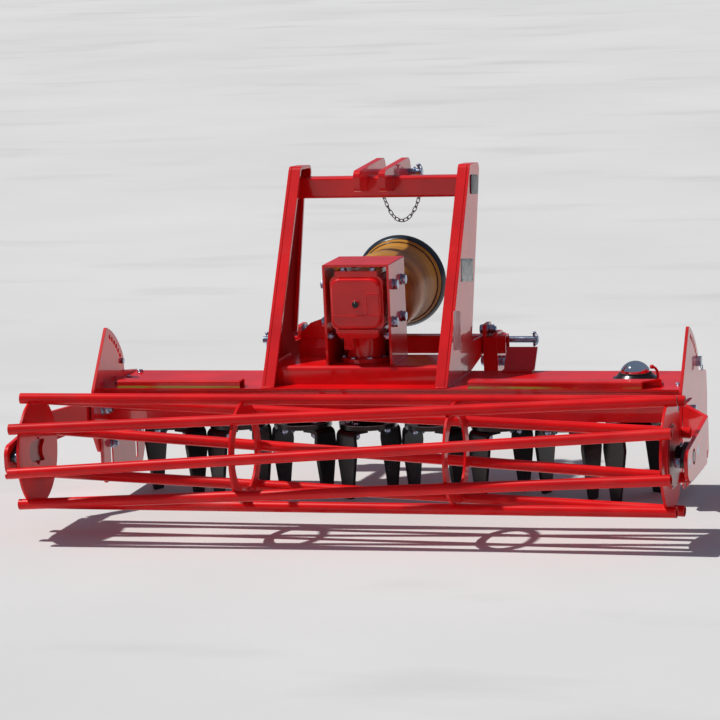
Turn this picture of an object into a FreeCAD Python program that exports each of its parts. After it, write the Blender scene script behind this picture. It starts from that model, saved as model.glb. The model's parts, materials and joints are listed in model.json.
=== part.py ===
import FreeCAD, Part
import math
import os

from FreeCAD import Matrix, Vector

# Power harrow (vertical-rotor rotary tiller) with a rear cage roller, in millimetres.
# While it is modelled, X runs to the right seen from behind, Y forward to the tractor
# and Z up from the tips of the tines. Y = 0 is the line of the rotor shafts. At the end
# everything is shifted so that the origin is the bottom centre of the whole machine.

# ---- driving dimensions -------------------------------------------------------------
# rotors and tines
ROTOR_COUNT = 8
ROTOR_PITCH = 220.0
HUB_RADIUS = 95.0
HUB_THICKNESS = 16.0
ROTOR_NECK_RADIUS = 30.0
TINE_CIRCLE = HUB_RADIUS      # rotor centre to the middle of a tine's thickness
TINE_THICKNESS = 12.0
TINE_SHOULDER_WIDTH = 94.0
TINE_SHOULDER_DROP = 58.0     # height of the rounded shoulders of a blade
TINE_TIP_WIDTH = 38.0
TINE_LENGTH = 225.0           # tip to the underside of the hub disc
TINE_BEND_RADIUS = 20.0
TINE_FOOT_INNER = 38.0        # where the foot of a tine starts, from the rotor centre
ROTOR_PHASE = (-27.0, 56.0)   # the rotors alternate between these two angles, degrees

# trough
TROUGH_HALF_LENGTH = ROTOR_COUNT * ROTOR_PITCH / 2 + 78.0
TROUGH_REAR = -155.0
TROUGH_FRONT = 154.0
TROUGH_FLOOR = TINE_LENGTH + HUB_THICKNESS + 21.0
TROUGH_WALL_BOTTOM = TROUGH_FLOOR + 38.0    # where the upright walls turn in to the floor
TROUGH_FLOOR_HALF = 112.0
PAN_WALL = 8.0
PAN_SLOPE_SHARE = 0.4         # how far the sloped floor moves sideways for its thickness
COVER_THICKNESS = 8.0
COVER_TOP = TROUGH_FLOOR + 115.0
COVER_REAR = -168.0
COVER_FRONT = 176.0
BOSS_RADIUS = 62.0
BOSS_TAPER = 10.0
BOSS_GAP = 6.0                # between a hub disc and the boss above it
GEAR_BLOCK_DEPTH = 150.0
GEAR_BLOCK_HEIGHT = 30.0
GEAR_BLOCK_INSET = 88.0       # from the end of the trough

# stiffener along the rear of the cover, in two lengths beside the headstock
STIFFENER_REAR = -166.0
STIFFENER_FRONT = -110.0
STIFFENER_HEIGHT = 25.0
STIFFENER_BEND = 7.0
STIFFENER_WALL = 5.0
STIFFENER_LEFT = -TROUGH_HALF_LENGTH + 53.0
STIFFENER_RIGHT = TROUGH_HALF_LENGTH - 78.0
STIFFENER_HEAD_GAP = 70.0     # from the side of the headstock

# side plates, shields and the roller's pivots
SIDE_PLATE_THICKNESS = 10.0
SIDE_PLATE_BOTTOM = TROUGH_FLOOR - 90.0
PIVOT_Y = -170.0
PIVOT_Z = COVER_TOP - 66.0
PIVOT_PIN_RADIUS = 12.0
PIVOT_SPACER_RADIUS = 28.0
PIVOT_HEAD_RADIUS = 19.0
PIVOT_HEAD = 12.0
SECTOR_RADIUS = 266.0         # edge of the depth sector, from the pivot
SECTOR_ANGLES = (69.0, 31.0)
HOLE_ROW_RADIUS = 240.0
HOLE_COUNT = 7
HOLE_ROW_ANGLES = (65.0, 30.5)
DEPTH_PIN_RADIUS = 9.0
DEPTH_PIN_HEAD = 14.0         # half the width of its square head
DEPTH_PIN_REACH = 8.0
SHIELD_THICKNESS = 5.0
SHIELD_TOP = TROUGH_FLOOR - 6.0
SHIELD_BOTTOM = 62.0
SLOT_HALF_WIDTH = 11.0
SLOT_BOTTOM = 100.0
SLOT_TOP = 190.0

# headstock
HEAD_X = -ROTOR_PITCH / 2     # the gearbox stands over the fourth rotor
MAST_HALF_WIDTH = 308.0
MAST_THICKNESS = 10.0
MAST_REAR_FLANGE = 41.0
MAST_FRONT_FLANGE = 22.0
MAST_HEIGHT = COVER_TOP + 667.0
MAST_FOOT_REAR = -155.0
MAST_FOOT_FRONT = 176.0
MAST_TOP_REAR = 272.0
MAST_TOP_FRONT = 402.0
MAST_WAIST_FRONT = 199.0      # where the front edge meets the toe that holds the hitch beam
MAST_CORNER = 22.0
CROSSBAR_HEIGHT = 70.0
CROSSBAR_DEPTH = 52.0
CROSSBAR_WALL = 5.0
CROSSBAR_REAR = 300.0
CROSSBAR_TOP = MAST_HEIGHT - 41.0
TUBE_CORNER = 9.0             # outer corner radius of the square tubes
EAR_THICKNESS = 22.0
EAR_SPACING = 86.0
EAR_OFFSET = -15.0            # middle of the two ears, from the middle of the headstock
EAR_REAR = 195.0
TOP_PIN_RADIUS = 12.5
TOP_PIN_Y = 503.0
TOP_PIN_Z = CROSSBAR_TOP - 9.0
TOP_PIN_HEAD = 8.0
TOP_PIN_REACH = 48.0          # how far the pin stands out past the right ear
DECK_REAR = -88.0
DECK_FRONT = 150.0
DECK_TOP = COVER_TOP + 60.0
DECK_WALL = 8.0
DECK_BEND = 14.0
GUSSET_THICKNESS = 8.0
STEP_DEPTH = 24.0
STEP_FACE = 30.0              # height of the step's upright face
FRONT_STEP_X = (308.0, 410.0)
FRONT_STEP_THICKNESS = 6.0

# lower hitch
HITCH_BEAM_SIZE = 60.0
HITCH_BEAM_WALL = 6.0
HITCH_BEAM_REAR = 350.0
HITCH_BEAM_BOTTOM = COVER_TOP + 26.0
HITCH_BEAM_HALF = 385.0
CLAMP_THICKNESS = 12.0
CLAMP_INNER = MAST_HALF_WIDTH + 4.0   # inner plate of a clamp, from the middle
CLAMP_OUTER = CLAMP_INNER + 36.0
CLAMP_DROP = 72.0             # how far a clamp reaches below the hitch beam
CLAMP_RISE = (40.0, 12.0)     # how far its inner and outer plates reach above the beam
LOWER_PIN_Y = 438.0
LOWER_PIN_Z = HITCH_BEAM_BOTTOM + 34.0
LOWER_PIN_RADIUS = 11.0
LOWER_PIN_LENGTH = 103.0
LOWER_PIN_BODY_RADIUS = 14.0
LOWER_PIN_COLLAR = 6.0
LOWER_PIN_SHOULDER = 14.0     # thickness of the shoulder outside the clamp

# gearbox and drive shaft
PTO_Z = COVER_TOP + 251.0
GEARBOX_REAR = -72.0
GEARBOX_FRONT = 123.0
GEARBOX_HALF = 88.0
GEARBOX_Z = PTO_Z + 12.0      # middle height of the body
GEARBOX_CORNER = 24.0
GEARBOX_PAD = (70.0, 15.0)    # half width and height of the mounting pad on top
GEARBOX_SUMP = (70.0, 28.0)   # the same for the sump below the body
GEARBOX_NECK_RADIUS = 62.0
GEARBOX_NECK_Y = 22.0
GEARBOX_FOOT = (20.0, 16.0)   # how far the foot flange stands out, and its thickness
GEARBOX_COVER_HALF = 81.0
GEARBOX_COVER_DEPTH = 22.0
GEARBOX_COVER_ROUND = 8.0
LUG_X = (-158.0, -128.0)
LUG_HEIGHT = 36.0
SNOUT_LENGTH = 215.0
SNOUT_RADIUS = 52.0
SNOUT_COLLAR_RADIUS = 74.0    # the guard sits round this collar
SNOUT_COLLAR_LENGTH = 36.0
SNOUT_STEP = 8.0
PTO_RADIUS = 17.5
PTO_STUB = 95.0
PTO_BURIED = 10.0             # how far inside the collar the modelled shaft starts
BRACKET_WIDTH = 221.0
BRACKET_REAR = -75.0
BRACKET_FRONT = 123.0
BRACKET_TOP = COVER_TOP + 387.0
BRACKET_THICKNESS = 8.0
BRACKET_BEND = 4.0
BRACKET_TIE_GAP = 3.0         # between the tie across the front and the sump
GUARD_RIM_RADII = (138.0, 156.0)      # where the band starts, and at the mouth
GUARD_REAR = GEARBOX_FRONT + 26.0
GUARD_RIM_Y = 500.0
GUARD_WALL = 4.0
GUARD_PROFILE = ((0.0, 104.0), (0.12, 120.0), (0.38, 131.0), (1.0, 135.0))   # share, radius
GUARD_BAND = 44.0
GUARD_BAND_WALL = 8.0

# filler cap on the cover, near the right end
CAP_X = (ROTOR_COUNT - 1) / 2 * ROTOR_PITCH + 9.0
CAP_Y = -18.0
CAP_BASE_RADIUS = 71.0
CAP_BASE_HEIGHT = 14.0
CAP_TAPER_HEIGHT = 12.0
CAP_TAPER_RADII = (66.0, 54.0)
CAP_DOME_RADIUS = 46.0
CAP_DOME_WALL = 12.0          # straight part below the dome
CAP_DOME_HEIGHT = 28.0

# roller and its frame
ROLLER_Y = PIVOT_Y - 494.0
ROLLER_Z = PIVOT_Z - 46.0
ROLLER_RADIUS = 178.5         # to the middle of the tubes, at their ends
TUBE_COUNT = 8
TUBE_RADIUS = 16.85
TUBE_WALL = 2.6
TUBE_HALF_LENGTH = TROUGH_HALF_LENGTH + 77.0
TUBE_FIRST_ANGLE = 78.0       # left end of the first tube, upward from straight back
TUBE_TWIST = 45.0             # how far each tube turns round the axis over its length
DISC_OUTER_FACE = TROUGH_HALF_LENGTH + 50.0
DISC_THICKNESS = 8.0
RING_PLACES = (-324.0, 345.0)
RING_WIDTH = 42.0
SEAT_DEPTH = 0.45             # share of a tube's radius that reaches into its seat
STUB_RADIUS = 17.5
STUB_FLANGE_RADIUS = 94.0
STUB_FLANGE_THICKNESS = 8.0
ARM_THICKNESS = 12.0
ARM_OUTER_FACE = DISC_OUTER_FACE + 66.0
ARM_HALF_HEIGHT = 41.0
ARM_FOLDS = (-275.0, -400.0)  # where the arm bends out and back
ARM_REAR = 108.0              # how far the arm reaches behind the roller axis
ARM_STUB_GAP = 7.0
ARM_SLOT = (-433.0, -58.0, -26.0)   # Y, and its ends above the roller axis
ARM_SLOT_HALF_WIDTH = 6.0
BEARING_PLATE = 16.0
BEARING_BOSS_RADIUS = 38.0
BEARING_BOSS_TAPER = 6.0
BEARING_GAP = 6.0             # between the bearing and the flange of the stub axle
BEARING_BOLT_SPACING = 150.0
BEARING_TILT = 4.0            # degrees, front bolt higher
BEARING_LOBE_RADIUS = 16.0

# clearances
RUNNING = 0.05                # radial, shafts in bearings and pins in bores
PIN_FIT = 0.1                 # radial, pins that are pulled out by hand
AXLE_FIT = 0.09               # radial, roller axle in its bearings
SEAT = 0.3                    # between curved seats on one body
GUARD_PLAY = 0.9              # radial, guard on the collar of the gearbox
ARM_CLEARANCE = 6.0           # between an arm and its side plate

SIDES = {"left": -1, "right": 1}
parts = {}


# ---- shape helpers ------------------------------------------------------------------
def box(x0, x1, y0, y1, z0, z1):
    return Part.makeBox(x1 - x0, y1 - y0, z1 - z0, Vector(x0, y0, z0))


def rod(radius, start, end):
    """A cylinder from one point to another."""
    start, end = Vector(*start), Vector(*end)
    return Part.makeCylinder(radius, (end - start).Length, start, end - start)


def pipe(radius, wall, start, end):
    return rod(radius, start, end).cut(rod(radius - wall, start, end))


def rounded_face(points):
    """A face in the XY plane whose corners are arcs: each point is (u, v) or (u, v, radius)."""
    edges, joints = [], []
    count = len(points)
    for i, point in enumerate(points):
        corner = Vector(point[0], point[1], 0)
        radius = point[2] if len(point) > 2 else 0.0
        before = Vector(points[i - 1][0], points[i - 1][1], 0) - corner
        after = Vector(points[(i + 1) % count][0], points[(i + 1) % count][1], 0) - corner
        if radius == 0:
            joints.append((corner, corner, None))
            continue
        half = before.getAngle(after) / 2
        reach = radius / math.tan(half)
        bisector = (before.normalize() + after.normalize()).normalize()
        middle = corner + bisector * (radius / math.sin(half) - radius)
        joints.append((corner + before * reach, corner + after * reach, middle))
    for i, (entry, leave, middle) in enumerate(joints):
        if middle is not None:
            edges.append(Part.Arc(entry, middle, leave).toShape())
        following = joints[(i + 1) % count][0]
        if (following - leave).Length > 1e-6:
            edges.append(Part.LineSegment(leave, following).toShape())
    return Part.Face(Part.Wire(edges))


# Turns of the XY plane of an outline: (u, v) becomes (Y, Z) with X along the depth, or
# (X, Z) with the depth running back along -Y.
TO_YZ = Matrix(0, 0, 1, 0, 1, 0, 0, 0, 0, 1, 0, 0, 0, 0, 0, 1)
TO_XZ = Matrix(1, 0, 0, 0, 0, 0, -1, 0, 0, 1, 0, 0, 0, 0, 0, 1)


def plate_yz(points, x0, x1):
    """A plate with a (Y, Z) outline between two values of X."""
    face = rounded_face(points).transformed(TO_YZ)
    return face.extrude(Vector(x1 - x0, 0, 0)).translated(Vector(x0, 0, 0))


def plate_xz(points, y0, y1):
    """A plate with an (X, Z) outline between two values of Y."""
    face = rounded_face(points).transformed(TO_XZ)
    return face.extrude(Vector(0, y1 - y0, 0)).translated(Vector(0, y0, 0))


def plate_xy(points, z0, z1):
    return rounded_face(points).extrude(Vector(0, 0, z1 - z0)).translated(Vector(0, 0, z0))


def strip(points, thickness):
    """The outline of a sheet folded along a line of points, its thickness on the left."""
    line = [Vector(u, v, 0) for u, v in points]
    normals = []
    for start, end in zip(line, line[1:]):
        run = (end - start).normalize()
        normals.append(Vector(-run.y, run.x, 0))
    inner = []
    for i, point in enumerate(line):
        first = normals[max(i - 1, 0)]
        second = normals[min(i, len(normals) - 1)]
        mitre = (first + second) * (1.0 / (1.0 + first.dot(second)))
        inner.append(point + mitre * thickness)
    return [(p.x, p.y) for p in line] + [(p.x, p.y) for p in reversed(inner)]


def on_circle(y, z, radius, degrees):
    """A (Y, Z) point round a centre; the angle rises from straight forward."""
    angle = math.radians(degrees)
    return y + radius * math.cos(angle), z + radius * math.sin(angle)


def mirrored(shape):
    return shape.mirror(Vector(0, 0, 0), Vector(1, 0, 0))


def on_side(shape, sign):
    """A shape made for the right-hand side, or its mirror image for the left."""
    return shape if sign > 0 else mirrored(shape)


def about_head(shape, sign):
    """A shape made to the right of the headstock's middle plane, put on either side of it."""
    return on_side(shape, sign).translated(Vector(HEAD_X, 0, 0))


def rect_tube(x0, x1, y0, y1, z0, z1, wall):
    """A rounded rectangular tube along X."""
    def section(inset):
        radius = TUBE_CORNER - inset
        corners = [(y0 + inset, z0 + inset), (y1 - inset, z0 + inset),
                   (y1 - inset, z1 - inset), (y0 + inset, z1 - inset)]
        return plate_yz([corner + (radius,) for corner in corners], x0, x1)

    return section(0).cut(section(wall))


def rotor_x(index):
    return (index - (ROTOR_COUNT - 1) / 2) * ROTOR_PITCH


# ---- trough -------------------------------------------------------------------------
def trough_section(inset):
    """Outline of the pan in (Y, Z): upright walls, then slopes down to a flat floor."""
    top = COVER_TOP - COVER_THICKNESS
    aside = inset * PAN_SLOPE_SHARE
    return [
        (TROUGH_REAR + inset, top), (TROUGH_REAR + inset, TROUGH_WALL_BOTTOM + aside),
        (-TROUGH_FLOOR_HALF + aside, TROUGH_FLOOR + inset),
        (TROUGH_FLOOR_HALF - aside, TROUGH_FLOOR + inset),
        (TROUGH_FRONT - inset, TROUGH_WALL_BOTTOM + aside), (TROUGH_FRONT - inset, top),
    ]


def make_trough():
    half = TROUGH_HALF_LENGTH
    pan = plate_yz(trough_section(0), -half, half)
    pan = pan.cut(plate_yz(trough_section(PAN_WALL), -half + PAN_WALL, half - PAN_WALL))
    parts["trough_pan"] = pan
    parts["trough_cover"] = box(-half, half, COVER_REAR, COVER_FRONT,
                                COVER_TOP - COVER_THICKNESS, COVER_TOP)
    gears = half - GEAR_BLOCK_INSET
    floor = TROUGH_FLOOR + PAN_WALL
    parts["gear_train_block"] = box(-gears, gears, -GEAR_BLOCK_DEPTH / 2,
                                    GEAR_BLOCK_DEPTH / 2, floor, floor + GEAR_BLOCK_HEIGHT)
    bosses = []
    hub_top = TINE_LENGTH + HUB_THICKNESS
    foot = hub_top + BOSS_GAP
    for i in range(ROTOR_COUNT):
        x = rotor_x(i)
        boss = Part.makeCone(BOSS_RADIUS - BOSS_TAPER, BOSS_RADIUS, TROUGH_FLOOR - foot,
                             Vector(x, 0, foot))
        bosses.append(boss.cut(rod(ROTOR_NECK_RADIUS + RUNNING, (x, 0, hub_top),
                                   (x, 0, TROUGH_FLOOR))))
    parts["rotor_bearing_bosses"] = Part.makeCompound(bosses)


def stiffener_length(x0, x1, slant):
    """Folded channel with rounded bends; its right end may be cut off at a slant."""
    def section(inset):
        bend = STIFFENER_BEND - min(inset, STIFFENER_WALL)
        top = COVER_TOP + STIFFENER_HEIGHT - inset
        return [(STIFFENER_REAR + inset, COVER_TOP), (STIFFENER_FRONT - inset, COVER_TOP),
                (STIFFENER_FRONT - inset, top, bend), (STIFFENER_REAR + inset, top, bend)]

    channel = plate_yz(section(0), x0, x1)
    channel = channel.cut(plate_yz(section(STIFFENER_WALL), x0 + STIFFENER_WALL, x1))
    end = plate_xy([(x1 - slant, STIFFENER_REAR), (x1 + slant, STIFFENER_REAR),
                    (x1 + slant, STIFFENER_FRONT), (x1, STIFFENER_FRONT)],
                   COVER_TOP, COVER_TOP + STIFFENER_HEIGHT)
    return channel.cut(end)


def make_stiffener():
    beside = MAST_HALF_WIDTH + STIFFENER_HEAD_GAP
    slant = STIFFENER_FRONT - STIFFENER_REAR
    parts["stiffener_beam"] = Part.makeCompound([
        stiffener_length(STIFFENER_LEFT, HEAD_X - beside, 0.01),
        stiffener_length(HEAD_X + beside, STIFFENER_RIGHT, slant)])


# ---- side plates and shields --------------------------------------------------------
def side_plate():
    """End plate of the trough with the depth sector that stands above it."""
    x0, x1 = TROUGH_HALF_LENGTH, TROUGH_HALF_LENGTH + SIDE_PLATE_THICKNESS
    first, last = SECTOR_ANGLES
    arc_start = on_circle(PIVOT_Y, PIVOT_Z, SECTOR_RADIUS, first)
    arc_end = on_circle(PIVOT_Y, PIVOT_Z, SECTOR_RADIUS, last)
    body = plate_yz([(arc_start[0] - 16, arc_start[1] + 6, 10), (-244, COVER_TOP + 3, 30),
                     (-266, TROUGH_FLOOR - 12, 30), (-215, SIDE_PLATE_BOTTOM, 20),
                     (185, SIDE_PLATE_BOTTOM, 30), (206, TROUGH_WALL_BOTTOM, 30),
                     (201, COVER_TOP + 1, 20), (60, COVER_TOP + 21, 8),
                     arc_end + (10,), arc_start + (12,)], x0, x1)
    bulge = rod(SECTOR_RADIUS, (x0, PIVOT_Y, PIVOT_Z), (x1, PIVOT_Y, PIVOT_Z))
    reach = SECTOR_RADIUS * 1.2
    wedge = plate_yz([(PIVOT_Y, PIVOT_Z), on_circle(PIVOT_Y, PIVOT_Z, reach, last + 2),
                      on_circle(PIVOT_Y, PIVOT_Z, reach, first - 2)], x0, x1)
    plate = body.fuse(bulge.common(wedge)).removeSplitter()
    top, bottom = HOLE_ROW_ANGLES
    for i in range(HOLE_COUNT):
        y, z = on_circle(PIVOT_Y, PIVOT_Z, HOLE_ROW_RADIUS,
                         top + (bottom - top) * i / (HOLE_COUNT - 1))
        plate = plate.cut(rod(DEPTH_PIN_RADIUS + PIN_FIT, (x0, y, z), (x1, y, z)))
    return plate.cut(rod(PIVOT_PIN_RADIUS + RUNNING, (x0, PIVOT_Y, PIVOT_Z),
                         (x1, PIVOT_Y, PIVOT_Z)))


def side_shield():
    """Plate that keeps soil in beside the end rotor, hung in two upright slots."""
    x1 = TROUGH_HALF_LENGTH
    x0 = x1 - SHIELD_THICKNESS
    shield = plate_yz([(-215, SHIELD_TOP), (-215, SHIELD_BOTTOM + 30, 30),
                       (-190, SHIELD_BOTTOM + 4, 20), (180, SHIELD_BOTTOM, 34),
                       (212, SHIELD_BOTTOM + 50, 30), (212, SHIELD_TOP)], x0, x1)
    for y in (-118, 128):
        slot = box(x0, x1, y - SLOT_HALF_WIDTH, y + SLOT_HALF_WIDTH, SLOT_BOTTOM, SLOT_TOP)
        for z in (SLOT_BOTTOM, SLOT_TOP):
            slot = slot.fuse(rod(SLOT_HALF_WIDTH, (x0, y, z), (x1, y, z)))
        shield = shield.cut(slot)
    return shield


def make_ends():
    plate, shield = side_plate(), side_shield()
    face = TROUGH_HALF_LENGTH + SIDE_PLATE_THICKNESS
    arm_inner = face + ARM_CLEARANCE
    arm_outer = arm_inner + ARM_THICKNESS

    def along_pivot(radius, x0, x1):
        return rod(radius, (x0, PIVOT_Y, PIVOT_Z), (x1, PIVOT_Y, PIVOT_Z))

    pivot = along_pivot(PIVOT_PIN_RADIUS, TROUGH_HALF_LENGTH, arm_outer + PIVOT_HEAD)
    pivot = pivot.fuse(along_pivot(PIVOT_SPACER_RADIUS, face, arm_inner - SEAT))
    pivot = pivot.fuse(along_pivot(PIVOT_HEAD_RADIUS, arm_outer + SEAT, arm_outer + PIVOT_HEAD))
    pin_y, pin_z = on_circle(PIVOT_Y, PIVOT_Z, HOLE_ROW_RADIUS, HOLE_ROW_ANGLES[1])
    pin = rod(DEPTH_PIN_RADIUS, (TROUGH_HALF_LENGTH - DEPTH_PIN_REACH, pin_y, pin_z),
              (face, pin_y, pin_z))
    pin = pin.fuse(box(face, face + DEPTH_PIN_HEAD, pin_y - DEPTH_PIN_HEAD,
                       pin_y + DEPTH_PIN_HEAD, pin_z - DEPTH_PIN_HEAD, pin_z + DEPTH_PIN_HEAD))
    pivots, depth_pins = [], []
    for side, sign in SIDES.items():
        parts["side_plate_" + side] = on_side(plate, sign)
        parts["side_shield_" + side] = on_side(shield, sign)
        pivots.append(on_side(pivot, sign))
        depth_pins.append(on_side(pin, sign))
    parts["roller_pivot_pins"] = Part.makeCompound(pivots)
    parts["depth_pins"] = Part.makeCompound(depth_pins)


# ---- headstock ----------------------------------------------------------------------
def headstock_mast():
    """Side of the headstock: a tapering web with flanges folded in along its edges."""
    x1 = MAST_HALF_WIDTH
    web_inner = x1 - MAST_THICKNESS
    flange_inner = x1 - MAST_REAR_FLANGE
    toe_top = HITCH_BEAM_BOTTOM + HITCH_BEAM_SIZE
    waist = toe_top + 6
    outline = [(MAST_FOOT_REAR, COVER_TOP), (MAST_FOOT_FRONT, COVER_TOP),
               (HITCH_BEAM_REAR, HITCH_BEAM_BOTTOM), (HITCH_BEAM_REAR, toe_top),
               (MAST_WAIST_FRONT, waist, MAST_CORNER),
               (MAST_TOP_FRONT, MAST_HEIGHT - 8, MAST_CORNER),
               (MAST_TOP_REAR, MAST_HEIGHT, MAST_CORNER)]
    face = rounded_face(outline)
    inside = face.makeOffset2D(-MAST_THICKNESS).transformed(TO_YZ)
    hollow = inside.extrude(Vector(web_inner - flange_inner, 0, 0))
    mast = plate_yz(outline, flange_inner, x1).cut(hollow.translated(Vector(flange_inner, 0, 0)))
    # There is no flange along the foot and the toe, and the front one is narrower.
    slope = (MAST_TOP_REAR - MAST_FOOT_REAR) / (MAST_HEIGHT - COVER_TOP)
    rear_inner = MAST_FOOT_REAR + MAST_THICKNESS * math.hypot(1, slope)
    above = toe_top + 40
    foot = plate_yz([(rear_inner, COVER_TOP), (HITCH_BEAM_REAR, COVER_TOP),
                     (HITCH_BEAM_REAR, above),
                     (rear_inner + slope * (above - COVER_TOP), above)],
                    flange_inner, web_inner)
    front = plate_yz([(MAST_WAIST_FRONT - 60, above), (HITCH_BEAM_REAR, above),
                      (MAST_TOP_FRONT + 20, MAST_HEIGHT - 60), (MAST_TOP_FRONT - 80, MAST_HEIGHT - 60)],
                     flange_inner, x1 - MAST_FRONT_FLANGE)
    return mast.cut(foot).cut(front).removeSplitter()


def top_link_ear():
    """Cheek of the top-link yoke, notched over the crossbar."""
    half = EAR_THICKNESS / 2
    bar_front = CROSSBAR_REAR + CROSSBAR_DEPTH
    ear = plate_yz([(EAR_REAR, CROSSBAR_TOP - 36, 14), (EAR_REAR, CROSSBAR_TOP + 31, 22),
                    (TOP_PIN_Y + 20, CROSSBAR_TOP + 41, 30), (TOP_PIN_Y + 42, TOP_PIN_Z - 4, 30),
                    (TOP_PIN_Y + 8, TOP_PIN_Z - 40, 24), (bar_front + 26, CROSSBAR_TOP - 56, 8),
                    (bar_front, CROSSBAR_TOP - 60), (CROSSBAR_REAR, CROSSBAR_TOP - 48)],
                   -half, half)
    ear = ear.cut(box(-half, half, CROSSBAR_REAR, bar_front,
                      CROSSBAR_TOP - CROSSBAR_HEIGHT, CROSSBAR_TOP))
    return ear.cut(rod(TOP_PIN_RADIUS + PIN_FIT, (-half, TOP_PIN_Y, TOP_PIN_Z),
                       (half, TOP_PIN_Y, TOP_PIN_Z)))


def make_headstock():
    mast = headstock_mast()
    for side, sign in SIDES.items():
        parts["headstock_mast_" + side] = about_head(mast, sign)
    inside = MAST_HALF_WIDTH - MAST_THICKNESS
    parts["headstock_crossbar"] = rect_tube(
        HEAD_X - inside, HEAD_X + inside, CROSSBAR_REAR, CROSSBAR_REAR + CROSSBAR_DEPTH,
        CROSSBAR_TOP - CROSSBAR_HEIGHT, CROSSBAR_TOP, CROSSBAR_WALL)
    middle = HEAD_X + EAR_OFFSET
    parts["top_link_ears"] = Part.makeCompound([
        top_link_ear().translated(Vector(middle + sign * EAR_SPACING / 2, 0, 0))
        for sign in SIDES.values()])
    half = EAR_SPACING / 2 + EAR_THICKNESS / 2
    head_start = middle - half - TOP_PIN_HEAD

    def along_pin(radius, x0, x1):
        return rod(radius, (x0, TOP_PIN_Y, TOP_PIN_Z), (x1, TOP_PIN_Y, TOP_PIN_Z))

    pin = along_pin(TOP_PIN_RADIUS, head_start, middle + half + TOP_PIN_REACH)
    head = along_pin(TOP_PIN_RADIUS + TOP_PIN_HEAD, head_start, middle - half - SEAT)
    parts["top_link_pin"] = pin.fuse(head).removeSplitter()


def make_deck():
    """Folded deck between the masts that the gearbox stands on, and its braces."""
    inside = MAST_HALF_WIDTH - MAST_THICKNESS

    def section(inset):
        bend = DECK_BEND - inset
        return [(DECK_REAR + inset, COVER_TOP), (DECK_FRONT - inset, COVER_TOP),
                (DECK_FRONT - inset, DECK_TOP - inset, bend),
                (DECK_REAR + inset, DECK_TOP - inset, bend)]

    deck = plate_yz(section(0), HEAD_X - inside, HEAD_X + inside)
    parts["headstock_base_beam"] = deck.cut(
        plate_yz(section(DECK_WALL), HEAD_X - inside, HEAD_X + inside))
    wall = HEAD_X - BRACKET_WIDTH / 2
    rear = DECK_FRONT - DECK_BEND - GUSSET_THICKNESS
    parts["headstock_gusset"] = plate_xz(
        [(wall, DECK_TOP), (wall, DECK_TOP + 129, 6), (wall - 66, DECK_TOP + 121, 6),
         (wall - 106, DECK_TOP + 107, 6), (wall - 142, DECK_TOP + 72, 8),
         (wall - 142, DECK_TOP)], rear, rear + GUSSET_THICKNESS)
    fold = strip([(rear - STEP_DEPTH, DECK_TOP), (rear - STEP_DEPTH, DECK_TOP + STEP_FACE),
                  (rear, DECK_TOP + STEP_FACE + STEP_DEPTH)], -GUSSET_THICKNESS)
    step = plate_yz(fold, wall - 142, wall - 50)
    beyond = box(wall - 142, wall, rear, DECK_FRONT, DECK_TOP, DECK_TOP + 100)
    parts["headstock_step"] = step.cut(beyond)
    x0, x1 = FRONT_STEP_X
    rise = strip([(COVER_FRONT - 40, COVER_TOP), (COVER_FRONT, COVER_TOP),
                  (COVER_FRONT + 58, COVER_TOP + 66)], FRONT_STEP_THICKNESS)
    parts["front_step"] = plate_yz(rise, x0, x1)


# ---- lower hitch --------------------------------------------------------------------
def make_lower_hitch():
    beam_front = HITCH_BEAM_REAR + HITCH_BEAM_SIZE
    beam_top = HITCH_BEAM_BOTTOM + HITCH_BEAM_SIZE
    parts["hitch_beam"] = rect_tube(HEAD_X - HITCH_BEAM_HALF, HEAD_X + HITCH_BEAM_HALF,
                                    HITCH_BEAM_REAR, beam_front, HITCH_BEAM_BOTTOM, beam_top,
                                    HITCH_BEAM_WALL)
    y0, y1 = HITCH_BEAM_REAR - 14, LOWER_PIN_Y + 30
    z0 = HITCH_BEAM_BOTTOM - CLAMP_DROP

    def cheek(x, rise):
        z1 = beam_top + rise
        return plate_yz([(y0, z0, 8), (y1 - 30, z0, 24), (y1, LOWER_PIN_Z - 40, 30),
                         (y1, LOWER_PIN_Z + 14, 24), (y1 - 60, z1, 20), (y0, z1, 12)],
                        x, x + CLAMP_THICKNESS)

    def along_pin(radius, x0, x1):
        return rod(radius, (x0, LOWER_PIN_Y, LOWER_PIN_Z), (x1, LOWER_PIN_Y, LOWER_PIN_Z))

    outside = CLAMP_OUTER + CLAMP_THICKNESS
    shoulder = outside + LOWER_PIN_SHOULDER
    opening = box(CLAMP_INNER, outside, HITCH_BEAM_REAR, beam_front, HITCH_BEAM_BOTTOM, beam_top)
    bore = along_pin(LOWER_PIN_BODY_RADIUS + RUNNING, CLAMP_INNER, outside)
    pin = along_pin(LOWER_PIN_BODY_RADIUS, CLAMP_INNER - LOWER_PIN_COLLAR, outside)
    pin = pin.fuse(along_pin(LOWER_PIN_BODY_RADIUS + LOWER_PIN_COLLAR, outside, shoulder))
    pin = pin.fuse(along_pin(LOWER_PIN_RADIUS, shoulder, shoulder + LOWER_PIN_LENGTH))
    pin = pin.removeSplitter()
    web = box(CLAMP_INNER + CLAMP_THICKNESS, CLAMP_OUTER, y0, HITCH_BEAM_REAR, z0 + 10,
              beam_top + CLAMP_RISE[1] - 14)
    clamp = cheek(CLAMP_INNER, CLAMP_RISE[0]).fuse(cheek(CLAMP_OUTER, CLAMP_RISE[1])).fuse(web)
    clamp = clamp.cut(opening).cut(bore).removeSplitter()
    for side, sign in SIDES.items():
        parts["hitch_clamp_" + side] = about_head(clamp, sign)
        parts["lower_link_pin_" + side] = about_head(pin, sign)


# ---- gearbox ------------------------------------------------------------------------
def rounded_square(half, radius, centre_z):
    return [(HEAD_X - half, centre_z - half, radius), (HEAD_X + half, centre_z - half, radius),
            (HEAD_X + half, centre_z + half, radius), (HEAD_X - half, centre_z + half, radius)]


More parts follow.
